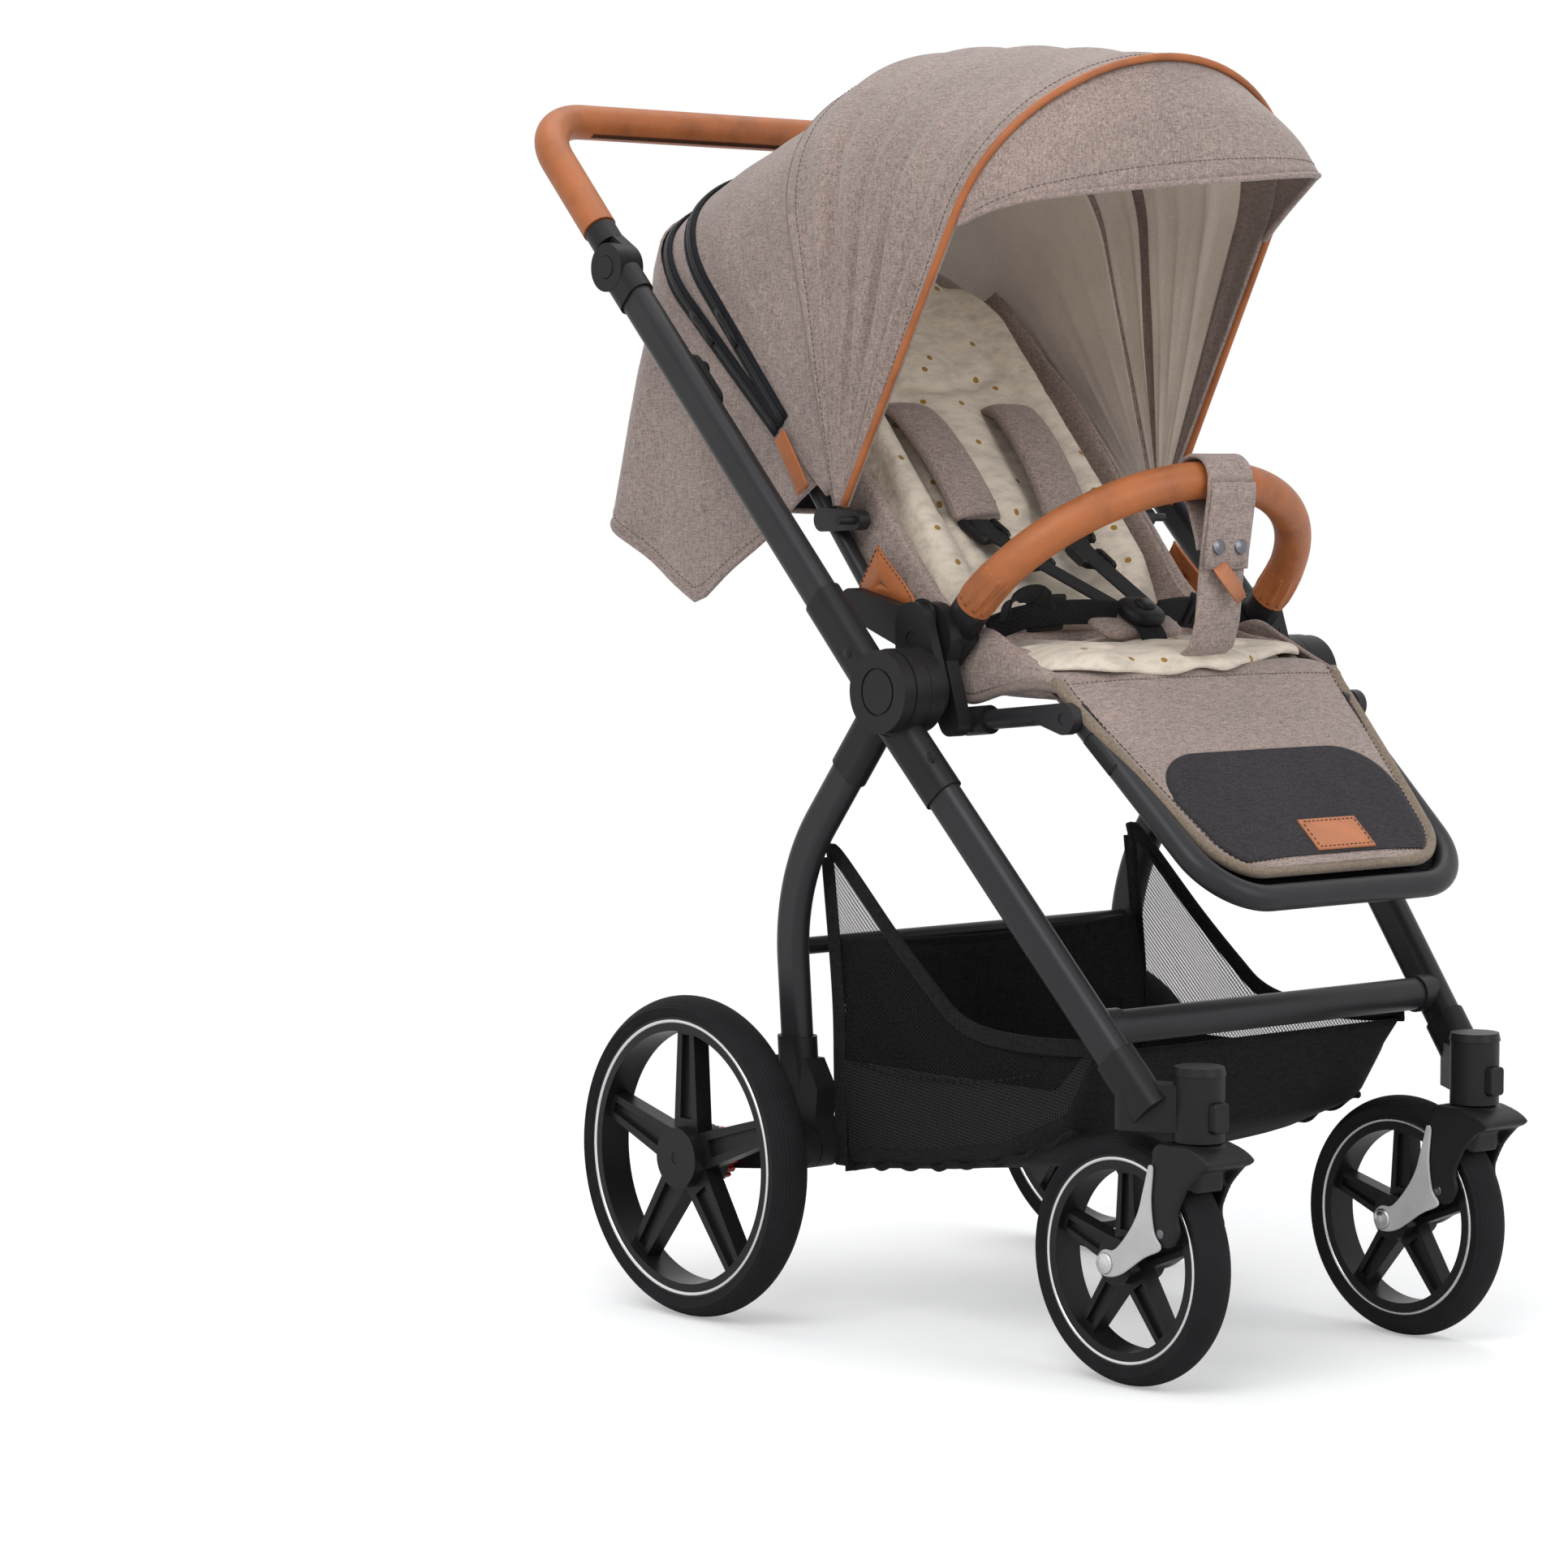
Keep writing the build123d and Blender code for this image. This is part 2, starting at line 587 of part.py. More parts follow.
# Push frame: hub discs with sleeves, tubes, and the outer rings of the handle joints
PUSH_TUBE = (60, 514)
JOINT_RING = (259.5, 273.5)
JOINT_R = 23
JOINT_PIN_R = 5
BUTTON_R = 10.5
with BuildPart() as push_hubs:
    for _, side in SIDES:
        lateral_cylinder(side, *PUSH_DISC, HUB_Y, HUB_Z, HUB_R - 1)
        tube_between(push_point(side, 22), push_point(side, 112), SLEEVE_SECTION)
        lateral_cylinder(side, 230, PUSH_DISC[0], HUB_Y, HUB_Z, HUB_R + 2, mode=Mode.SUBTRACT)
        pin_bore = (PUSH_DISC[0], PUSH_DISC[1] - 2.5)
        lateral_cylinder(side, *pin_bore, HUB_Y, HUB_Z, HUB_PIN_R + RUN_FIT, mode=Mode.SUBTRACT)
        with BuildSketch(slab(side, PUSH_DISC[1] - 1.5, PUSH_DISC[1])):
            with Locations((HUB_Y, HUB_Z)):
                Circle(21.5)
                Circle(19.5, mode=Mode.SUBTRACT)
        extrude(amount=1.5, mode=Mode.SUBTRACT)
        pocket = (push_point(side, PUSH_TUBE[0] - SEAT_FIT), push_point(side, 130))
        tube_between(*pocket, grown(LEG_SECTION, SEAT_FIT), mode=Mode.SUBTRACT)
save(push_hubs, "push_hubs")

for name, side in SIDES:
    with BuildPart() as push_tube:
        tube_between(push_point(side, PUSH_TUBE[0]), push_point(side, PUSH_TUBE[1]), LEG_SECTION)
    save(push_tube, f"push_tube_{name}")

with BuildPart() as handle_joints:
    for _, side in SIDES:
        tube_between(push_point(side, 496), push_point(side, 524), SLEEVE_SECTION)
        lateral_cylinder(side, 240, JOINT_RING[0], JOINT_Y, JOINT_Z, JOINT_R + 1.5, mode=Mode.SUBTRACT)
        lateral_cylinder(side, *JOINT_RING, JOINT_Y, JOINT_Z, JOINT_R)
        pocket = (push_point(side, 480), push_point(side, PUSH_TUBE[1] + SEAT_FIT))
        tube_between(*pocket, grown(LEG_SECTION, SEAT_FIT), mode=Mode.SUBTRACT)
        lateral_cylinder(side, 247, JOINT_RING[0] + 2, JOINT_Y, JOINT_Z, JOINT_PIN_R)
        lateral_cylinder(side, 265.5, 274, JOINT_Y, JOINT_Z, BUTTON_R + GAP, mode=Mode.SUBTRACT)
save(handle_joints, "handle_joints")

for name, side in SIDES:
    with BuildPart() as handle_button:
        lateral_cylinder(side, 269, 274.5, JOINT_Y, JOINT_Z, BUTTON_R)
        fillet(handle_button.faces().sort_by(Axis.X)[-1 if side > 0 else 0].edges(), 1.2)
    save(handle_button, f"handle_button_{name}")

    slider_at = push_point(side, 384)
    slider_at = Vector(side * (PUSH_X - LEG_SECTION[1] / 2 - GAP), slider_at.Y, slider_at.Z)
    with BuildPart() as fold_slider:
        slider_dir = push_point(side, 1) - push_point(side, 0)
        with BuildSketch(Plane(origin=slider_at, x_dir=slider_dir, z_dir=(-side, 0, 0))):
            SlotOverall(66, 25)
        extrude(amount=7)
        lip_at = slider_at + slider_dir * 14 + Vector(-side * 7, 0, 0)
        with BuildSketch(Plane(origin=lip_at, x_dir=slider_dir, z_dir=(-side, 0, 0))):
            SlotOverall(26, 18, rotation=90)
        extrude(amount=5, taper=10)
    save(fold_slider, f"fold_slider_{name}")

# Handle: knuckles in the joints, U-shaped bar and leather-covered grip
KNUCKLE = (246, 259)
HANDLE_START = 36
GRIP_START = 52
handle_tilt = radians(HANDLE_TILT)
handle_plane = Plane(
    origin=(0, JOINT_Y, JOINT_Z), x_dir=(1, 0, 0), z_dir=(0, -cos(handle_tilt), sin(handle_tilt))
)
with BuildPart() as knuckles:
    for _, side in SIDES:
        with BuildSketch(slab(side, *KNUCKLE)):
            with Locations((JOINT_Y, JOINT_Z)):
                Circle(JOINT_R - 1)
            with Locations((JOINT_Y + 34 * sin(handle_tilt), JOINT_Z + 34 * cos(handle_tilt))):
                Circle(13)
            make_hull()
        extrude(amount=KNUCKLE[1] - KNUCKLE[0])
        collar = [handle_plane.from_local_coords((side * HANDLE_HALF, v, 0)) for v in (28, 50)]
        round_between(*collar, 15.5)
        ends = (HANDLE_START - 0.2, 60)
        pocket = [handle_plane.from_local_coords((side * HANDLE_HALF, end, 0)) for end in ends]
        round_between(*pocket, HANDLE_CORE_R + SEAT_FIT, mode=Mode.SUBTRACT)
        lateral_cylinder(side, 240, 260, JOINT_Y, JOINT_Z, JOINT_PIN_R + RUN_FIT, mode=Mode.SUBTRACT)
save(knuckles, "handle_knuckles")

core_route = u_wire(handle_plane, HANDLE_HALF, HANDLE_START, HANDLE_REACH, HANDLE_BEND)
grip_route = u_wire(handle_plane, HANDLE_HALF, GRIP_START, HANDLE_REACH, HANDLE_BEND)
with BuildPart() as handle_bar:
    sweep_round(core_route, HANDLE_CORE_R)
save(handle_bar, "handle_bar")

with BuildPart() as handle_grip:
    sweep_round(grip_route, GRIP_R)
    sweep_round(grip_route, HANDLE_CORE_R + SEAT_FIT, mode=Mode.SUBTRACT)
save(handle_grip, "handle_grip")

# Seat joints: plates with recline pin, arm for the back tube, boss for the base tube, bumper socket
back_tilt = radians(BACK_TILT)
bumper_lean = radians(BUMPER_LEAN)


def back_point(x, up, out):
    """Point from the foot of the backrest: up along it, and out of its front face."""
    y = BACK_FOOT[0] + up * sin(back_tilt) - out * cos(back_tilt)
    return Vector(x, y, BACK_FOOT[1] + up * cos(back_tilt) + out * sin(back_tilt))


def bumper_point(side, reach):
    """Point on the line of one arm of the bumper bar, from its end."""
    x, y, z = BUMPER_END
    return Vector(side * x, y - reach * sin(bumper_lean), z + reach * cos(bumper_lean))


BACK_SOCKET = 95
BASE_START = (-128, 567)
BASE_END = (-232, 577.4)
BUMPER_PLUG = (34, 20)
BUMPER_SOCKET = (-50, -20)
with BuildPart() as seat_joints:
    for _, side in SIDES:
        socket = back_point(0, BACK_SOCKET, -BACK_THICK / 2)
        for y, z, radius in ((socket.Y, socket.Z, 13), (*BASE_START, 13)):
            with BuildSketch(slab(side, *SEAT_PLATE)):
                with Locations((SEAT_Y, SEAT_Z)):
                    Circle(20)
                with Locations((y, z)):
                    Circle(radius)
                make_hull()
            extrude(amount=SEAT_PLATE[1] - SEAT_PLATE[0])
        lateral_cylinder(side, *SEAT_PLATE, SEAT_Y, SEAT_Z, 33)
        lateral_cylinder(side, BACK_TUBE_X - 9, SEAT_PLATE[0], socket.Y, socket.Z, 13)
        lateral_cylinder(side, BASE_TUBE_X, SEAT_PLATE[0] + 2, *BASE_START, 11)
        boss = [(side * BASE_TUBE_X, BASE_START[0] + dy, BASE_START[1] - 0.1 * dy) for dy in (10, -20)]
        round_between(*boss, 13)
        bumper_dir = (0, -sin(bumper_lean), cos(bumper_lean))
        with BuildSketch(along(bumper_point(side, BUMPER_SOCKET[0]), bumper_dir)):
            SlotOverall(BUMPER_PLUG[0] + 10, BUMPER_PLUG[1] + 10)
        extrude(amount=BUMPER_SOCKET[1] - BUMPER_SOCKET[0])
        pocket_at = bumper_point(side, BUMPER_SOCKET[0] + 4)
        with BuildSketch(along(pocket_at, bumper_dir)):
            SlotOverall(*grown(BUMPER_PLUG, 0.4))
        extrude(amount=60, mode=Mode.SUBTRACT)
        tube_line = [back_point(side * BACK_TUBE_X, v, -BACK_THICK / 2) for v in (BACK_SOCKET + 6, 160)]
        round_between(*tube_line, BACK_TUBE_R + SEAT_FIT, mode=Mode.SUBTRACT)
        base_line = [(side * BASE_TUBE_X, BASE_START[0] - dy, BASE_START[1] + 0.1 * dy) for dy in (4, 60)]
        round_between(*base_line, BASE_TUBE_R + SEAT_FIT, mode=Mode.SUBTRACT)
        lateral_cylinder(side, 205, ADAPTER[1] - 1, SEAT_Y, SEAT_Z, ADAPTER_PIN_R)
save(seat_joints, "seat_joints")

# Seat frame: U-tube of the backrest with canopy clips, and base tubes with knee eyes
BACK_TUBE_REACH = BACK_LENGTH - 20
BACK_TUBE_BEND = 150
CLIP = (177, 190)
CLIP_PIN_R = 4
CLIP_PIN_END = 209.5
tube_plane = Plane(
    origin=back_point(0, 0, -BACK_THICK / 2), x_dir=(1, 0, 0), z_dir=(0, -cos(back_tilt), sin(back_tilt))
)
back_route = u_wire(tube_plane, BACK_TUBE_X, BACK_SOCKET + 6.5, BACK_TUBE_REACH, BACK_TUBE_BEND)
with BuildPart() as seat_frame:
    sweep_round(back_route, BACK_TUBE_R)
    for _, side in SIDES:
        clip_foot = back_point(0, 192, -BACK_THICK / 2)
        with BuildSketch(slab(side, *CLIP)):
            with Locations((clip_foot.Y, clip_foot.Z)):
                Circle(11)
            with Locations((CANOPY_Y, CANOPY_Z)):
                Circle(9)
            make_hull()
        extrude(amount=CLIP[1] - CLIP[0])
        lateral_cylinder(side, CLIP[1], CLIP_PIN_END, CANOPY_Y, CANOPY_Z, CLIP_PIN_R)
save(seat_frame, "seat_frame")

KNEE_EYE = (177, 187)
KNEE_PIN_R = 5
with BuildPart() as base_tubes:
    for _, side in SIDES:
        tube_start = (BASE_START[0] - 4.5, BASE_START[1] + 0.45)
        round_between((side * BASE_TUBE_X, *tube_start), (side * BASE_TUBE_X, *BASE_END), BASE_TUBE_R)
        with BuildSketch(slab(side, *KNEE_EYE)):
            with Locations((KNEE_Y, KNEE_Z)):
                Circle(14)
            with Locations((BASE_END[0] + 12, BASE_END[1] - 1)):
                Circle(8.5)
            make_hull()
        extrude(amount=KNEE_EYE[1] - KNEE_EYE[0])
        bore = (KNEE_EYE[0] - 4, KNEE_EYE[1] + 1)
        lateral_cylinder(side, *bore, KNEE_Y, KNEE_Z, KNEE_PIN_R + RUN_FIT, mode=Mode.SUBTRACT)
save(base_tubes, "seat_base_tubes")

# Seat shell: padded back and pan with low side wings
WING = (156, SHELL_HALF)
PAN_APRON = (-252, -142, 178)  # front and rear Y, half width of the pan's wide front
SHELL_CORNER = 110
with BuildPart() as shell:
    rear_foot = back_point(0, 10, -BACK_THICK)
    top, top_rear = back_point(0, BACK_LENGTH, 0), back_point(0, BACK_LENGTH, -BACK_THICK)
    pan_low = BACK_FOOT[1] - PAN_THICK
    with BuildSketch(Plane.YZ.offset(-SHELL_HALF)):
        with BuildLine():
            Polyline(
                (PAN_FRONT, pan_low), (PAN_FRONT, BACK_FOOT[1]), BACK_FOOT, (top.Y, top.Z),
                (top_rear.Y, top_rear.Z), (rear_foot.Y, pan_low), close=True,
            )
        make_face()
    extrude(amount=2 * SHELL_HALF)
    with BuildSketch(Plane.XY.offset(pan_low)):
        with Locations((0, (PAN_APRON[0] + PAN_APRON[1]) / 2)):
            Rectangle(2 * PAN_APRON[2], PAN_APRON[1] - PAN_APRON[0])
    extrude(amount=PAN_THICK)
    bolster, ear = back_point(0, 70, 58), back_point(0, BACK_LENGTH - 12, 26)
    for _, side in SIDES:
        with BuildSketch(slab(side, *WING)):
            with BuildLine():
                Polyline(
                    (PAN_FRONT + 6, BACK_FOOT[1] - 5), (PAN_FRONT + 6, BACK_FOOT[1] + 14), (-150, 664),
                    (bolster.Y, bolster.Z), (ear.Y, ear.Z), (top.Y, top.Z - 6), (-40, 610), close=True,
                )
            make_face()
        extrude(amount=WING[1] - WING[0])
    with BuildSketch(Plane(origin=tube_plane.origin, x_dir=(1, 0, 0), z_dir=tube_plane.z_dir)):
        for _, side in SIDES:
            corner = (side * (SHELL_HALF - SHELL_CORNER), BACK_LENGTH - SHELL_CORNER)
            with Locations((corner[0] + side * 100, corner[1] + 100)):
                Rectangle(200, 200)
            with Locations(corner):
                Circle(SHELL_CORNER, mode=Mode.SUBTRACT)
    extrude(amount=120, both=True, mode=Mode.SUBTRACT)
    sweep_round(back_route, BACK_TUBE_R + SEAT_FIT, mode=Mode.SUBTRACT)
save(shell, "seat_shell")


def pad(place, stations, panels=1):
    """Padded solid lofted through cross-sections (station, half width, edge, crown), with stitched panels."""
    sections = []
    for station, half, edge, crown in stations:
        with BuildSketch(place(station)) as outline:
            with BuildLine():
                Line((-half, 0), (-half, edge))
                width = 2 * half / panels
                for panel in range(panels):
                    start = -half + panel * width
                    ThreePointArc((start, edge), (start + width / 2, crown), (start + width, edge))
                Line((half, edge), (half, 0))
                Line((half, 0), (-half, 0))
            make_face()
        sections.append(outline.sketch)
    loft(sections, ruled=True)


def back_place(x, lift):
    """Cross-section planes up the backrest; y is out of its face."""
    def place(up):
        z_dir = (0, sin(back_tilt), cos(back_tilt))
        return Plane(origin=back_point(x, up, lift), x_dir=(-1, 0, 0), z_dir=z_dir)
    return place


def pan_place(y):
    """Cross-section planes along the seat pan; y is up."""
    return Plane(origin=(0, y, BACK_FOOT[1] + 0.3), x_dir=(1, 0, 0), z_dir=(0, -1, 0))


with BuildPart() as liner:
    pad(
        back_place(0, 0.3),
        (
            (30, LINER_HALF - 8, 9, 16), (75, LINER_HALF, 11, LINER_THICK),
            (250, LINER_HALF - 4, 11, LINER_THICK), (400, LINER_HALF - 4, 11, LINER_THICK),
            (450, LINER_HALF - 26, 10, 18), (482, LINER_HALF - 66, 8, 13),
        ),
        panels=3,
    )
    pad(
        pan_place,
        (
            (-82, LINER_HALF - 8, 9, 15), (-110, LINER_HALF, 11, LINER_THICK),
            (-195, LINER_HALF - 4, 11, LINER_THICK), (-226, LINER_HALF, 7, 12),
        ),
        panels=3,
    )
save(liner, "seat_liner")

# Harness: shoulder pads, webbing and buckle
PAD_X = 62
with BuildPart() as shoulder_pads:
    for _, side in SIDES:
        pad(
            back_place(side * PAD_X, LINER_THICK + 1.5),
            ((188, 21, 5, 9), (205, 25, 7, 14), (310, 24, 7, 14), (330, 20, 5, 9)),
        )
save(shoulder_pads, "shoulder_pads")

WEB_WIDTH = 24
WEB_THICK = 2.5
BUCKLE = Vector(0, -150, 652)


def strap(start, end, width, face):
    """Flat web between two points; face is the direction its flat side looks to."""
    start, end = Vector(*start), Vector(*end)
    with BuildSketch(along(start, end - start, face)) as outline:
        Rectangle(width, WEB_THICK)
    extrude(outline.sketch, amount=(end - start).length)


with BuildPart() as harness:
    with BuildSketch(Plane(origin=BUCKLE, x_dir=(1, 0, 0), z_dir=(0, -0.5, 0.86))):
        RectangleRounded(52, 40, 10)
    extrude(amount=13)
    for _, side in SIDES:
        pad_end = back_point(side * PAD_X, 184, 30)
        strap(pad_end, BUCKLE + Vector(side * 15, 4, 8), WEB_WIDTH, (0, -0.77, 0.64))
        strap((side * 138, -104, 640), BUCKLE + Vector(side * 14, 2, 6), WEB_WIDTH, (0, -0.5, 0.86))
    strap((0, -168, 634), BUCKLE + Vector(0, -8, 6), WEB_WIDTH, (0, -0.86, 0.5))
save(harness, "harness")

# Leg rest: U-frame on the knee hinge, and its pad
LEG_KNUCKLE = (164, 176.5)
leg_tilt = radians(LEG_REST_TILT)
leg_plane = Plane(origin=(0, KNEE_Y, KNEE_Z), x_dir=(1, 0, 0), z_dir=(0, sin(leg_tilt), -cos(leg_tilt)))
with BuildPart() as leg_frame:
    sweep_round(u_wire(leg_plane, LEG_REST_HALF[0], 4, LEG_REST_REACH, 60, LEG_REST_HALF[1]), LEG_REST_R)
    for _, side in SIDES:
        lateral_cylinder(side, *LEG_KNUCKLE, KNEE_Y, KNEE_Z, 13)
        lateral_cylinder(side, LEG_KNUCKLE[1], KNEE_EYE[1] - 1, KNEE_Y, KNEE_Z, KNEE_PIN_R)
save(leg_frame, "leg_rest_frame")


LEG_PAD_DROP = 7


def leg_place(down):
    """Cross-section planes down the leg rest; y is out of its upper face."""
    origin = leg_plane.from_local_coords((0, down, LEG_PAD_DROP))
    return Plane(origin=origin, x_dir=(1, 0, 0), z_dir=(0, -cos(leg_tilt), -sin(leg_tilt)))


with BuildPart() as leg_pad:
    pad(
        leg_place,
        ((12, 148, 8, 12), (28, 148, 10, 15), (150, 138, 10, 15), (173, 130, 9, 13), (183, 114, 7, 10)),
    )
save(leg_pad, "leg_rest_pad")

# Bumper bar: leather-covered bar, plugs at its ends, strap to the seat
bumper_plane = Plane(
    origin=(0, BUMPER_END[1], BUMPER_END[2]), x_dir=(1, 0, 0), z_dir=(0, -cos(bumper_lean), -sin(bumper_lean))
)
BUMPER_START = 5
with BuildPart() as bumper:
    with BuildLine(bumper_plane) as bumper_route:
        EllipticalCenterArc((0, BUMPER_START), BUMPER_END[0], BUMPER_REACH - BUMPER_START, arc_size=180)
    sweep_round(bumper_route.wire(), BUMPER_R)
save(bumper, "bumper_bar")

with BuildPart() as bumper_plugs:
    for _, side in SIDES:
        arm_dir = (0, -sin(bumper_lean), cos(bumper_lean))
        with BuildSketch(along(bumper_point(side, BUMPER_SOCKET[0] + 5), arm_dir)):
            SlotOverall(*BUMPER_PLUG)
        extrude(amount=BUMPER_START - BUMPER_SOCKET[0] - 5 - SEAT_FIT)
save(bumper_plugs, "bumper_plugs")

STRAP_HALF = 20
STRAP_THICK = 4
STRAP_CLEAR = 1.5
crest = bumper_point(0, BUMPER_REACH)
with BuildPart() as bumper_strap:
    with BuildSketch(Plane.YZ.offset(-STRAP_HALF)):
        with Locations((crest.Y, crest.Z)):
            Circle(BUMPER_R + STRAP_CLEAR + STRAP_THICK)
        with BuildLine():
            Polyline(
                (crest.Y - STRAP_THICK, crest.Z), (crest.Y, crest.Z), (-247, 700), (-247, 616),
                (-247 - STRAP_THICK, 616), (-247 - STRAP_THICK, 700), close=True,
            )
        make_face()
        with Locations((crest.Y, crest.Z)):
            Circle(BUMPER_R + STRAP_CLEAR, mode=Mode.SUBTRACT)
    extrude(amount=2 * STRAP_HALF)
save(bumper_strap, "bumper_strap")

# Canopy: rear shell on the seat, front shell with visor on the pivot
CORNER_TURN = radians(50)
CORNER_R = 150
VISOR_CORNER_R = 60
FLARE = 8.5


def hoop_plane(angle):
    """Plane of a canopy hoop through the pivot axis; y is the hoop's height."""
    tilt = radians(angle)
    return Plane(origin=(0, CANOPY_Y, CANOPY_Z), x_dir=(1, 0, 0), z_dir=(0, -cos(tilt), sin(tilt)))


def hoop_arch(half, height, corner):
    """Corner points of a three-arc arch: spring line, middle of corner, end of corner."""
    rise = (1 - sin(CORNER_TURN)) / cos(CORNER_TURN)
    spring = height - corner * (1 - rise) - half * rise
    points = [(half, spring)]
    for turn in (CORNER_TURN / 2, CORNER_TURN):
        points.append((half - corner + corner * cos(turn), spring + corner * sin(turn)))
    return points


def arch_lines(half, height, corner):
    """Draw the arch from right to left in the current line builder."""
    spring, bend, crown = hoop_arch(half, height, corner)
    ThreePointArc(spring, bend, crown)
    ThreePointArc(crown, (0, height), (-crown[0], crown[1]))
    ThreePointArc((-crown[0], crown[1]), (-bend[0], bend[1]), (-spring[0], spring[1]))
    return spring


def canopy_loft(hoops, inset, mode, foot=CANOPY_FOOT):
    """Loft through hoops; the inset loft cuts the hollow and runs past ends and foot."""
    overrun = 2 if inset else 0
    foot -= inset
    sections = []
    for index, (angle, half, height) in enumerate(hoops):
        if index == 0:
            angle -= overrun
        if index == len(hoops) - 1:
            angle += overrun
        with BuildSketch(hoop_plane(angle)) as outline:
            with BuildLine():
                x, y = arch_lines(half - inset, height - inset, CORNER_R - inset)
                Line((-x, y), (-x - FLARE, foot))
                Line((-x - FLARE, foot), (x + FLARE, foot))
                Line((x + FLARE, foot), (x, y))
            make_face()
        sections.append(outline.sketch)
    loft(sections, ruled=True, mode=mode)


with BuildPart() as canopy_rear:
    canopy_loft(REAR_HOOPS, 0, Mode.ADD)
    canopy_loft(REAR_HOOPS, CANOPY_WALL, Mode.SUBTRACT)
save(canopy_rear, "canopy_rear")

with BuildPart() as canopy_middle:
    canopy_loft(MIDDLE_HOOPS, 0, Mode.ADD, MIDDLE_FOOT)
    canopy_loft(MIDDLE_HOOPS, CANOPY_WALL, Mode.SUBTRACT, MIDDLE_FOOT)
save(canopy_middle, "canopy_middle")

PIVOT_PLATE = (204.8, 209.5)
with BuildPart() as canopy_front:
    canopy_loft(FRONT_HOOPS, 0, Mode.ADD)
    canopy_loft(FRONT_HOOPS, CANOPY_WALL, Mode.SUBTRACT)
    crescents = []
    for angle, half, height in VISOR_HOOPS:
        corner = CORNER_R if half > 180 else VISOR_CORNER_R
        with BuildSketch(hoop_plane(angle)) as crescent:
            with BuildLine():
                x, y = arch_lines(half, height, corner)
                inner_x, inner_y = arch_lines(half - CANOPY_WALL, height - CANOPY_WALL, corner - CANOPY_WALL)
                Line((x, y), (inner_x, inner_y))
                Line((-x, y), (-inner_x, inner_y))
            make_face()
        crescents.append(crescent.sketch)
    loft(crescents, ruled=True)
    for _, side in SIDES:
        with BuildSketch(slab(side, *PIVOT_PLATE)):
            with Locations((CANOPY_Y, CANOPY_Z)):
                Circle(11)
            with BuildLine():
                edge = [radians(angle) for angle in (-27, -13)]
                corners = [(CANOPY_Y + 58 * sin(a), CANOPY_Z + 58 * cos(a)) for a in edge]
                Polyline((CANOPY_Y, CANOPY_Z), *corners, close=True)
            make_face()
            make_hull()
        extrude(amount=PIVOT_PLATE[1] - PIVOT_PLATE[0])
        lateral_cylinder(side, 203, 211, CANOPY_Y, CANOPY_Z, CLIP_PIN_R + RUN_FIT, mode=Mode.SUBTRACT)
save(canopy_front, "canopy_front")

# Back flap: cloth wrapped round the back of the seat, hanging from the rear edge of the canopy
FLAP_HALF = 190
FLAP_THICK = 4
FLAP_FRONT = 40
FLAP_ANGLE = 50.3
FLAP_SECTIONS = (
    (1056, 386, 150), (984, 394, 120), (930, 386, 95), (883, 390, 75),
    (836, 394, 60), (742, 408, 45), (640, 412, 45),
)  # height, Y of the back, corner radius
FLAP_HEM = ((40, 803), (250, 665), (420, 756), (420, 600), (40, 600))


def flap_section(z, back, corner, inset):
    """Plan outline of the flap at one height; inset gives its inner face."""
    half, rear, front = FLAP_HALF - inset, back - inset, FLAP_FRONT - inset
    with BuildSketch(Plane.XY.offset(z)) as outline:
        with BuildLine():
            FilletPolyline((-half, front), (-half, rear), (half, rear), (half, front), radius=corner - inset)
            Line((half, front), (-half, front))
        make_face()
    return outline.sketch


with BuildPart() as flap:
    for inset, mode in ((0, Mode.ADD), (FLAP_THICK, Mode.SUBTRACT)):
        loft([flap_section(*section, inset) for section in FLAP_SECTIONS], ruled=True, mode=mode)
    with BuildSketch(hoop_plane(FLAP_ANGLE)):
        Rectangle(1000, 2000)
    extrude(amount=800, mode=Mode.SUBTRACT)
    with BuildSketch(Plane.YZ.offset(-FLAP_HALF - 10)):
        with BuildLine():
            Polyline(*FLAP_HEM, close=True)
        make_face()
    extrude(amount=2 * FLAP_HALF + 20, mode=Mode.SUBTRACT)
save(flap, "back_flap")

# Shopping basket: open top, low front, sides rising to the rear legs
with BuildPart() as basket:
    with BuildSketch(Plane.YZ.offset(-BASKET_HALF)):
        with BuildLine():
            Polyline(*BASKET_SIDE, close=True)
        make_face()
    extrude(amount=2 * BASKET_HALF)
    inner_half = BASKET_HALF - BASKET_WALL
    with BuildSketch(Plane.YZ.offset(-inner_half)):
        with BuildLine():
            Polyline(*BASKET_INSIDE, close=True)
        make_face()
    extrude(amount=2 * inner_half, mode=Mode.SUBTRACT)
    with BuildSketch(Plane.XY.offset(BASKET_BACK_Z)):
        with Locations((0, BASKET_SIDE[4][0])):
            Rectangle(2 * inner_half, BASKET_BACK_CUT)
    extrude(amount=100, mode=Mode.SUBTRACT)
save(basket, "basket")
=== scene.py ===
"""Baby stroller: cloth, leather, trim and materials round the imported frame.

Points are in millimetres in the part's frame: front towards -Y, +Z up, "left" at +X.
"""

import json
from math import cos, pi, radians, sin, sqrt, tan

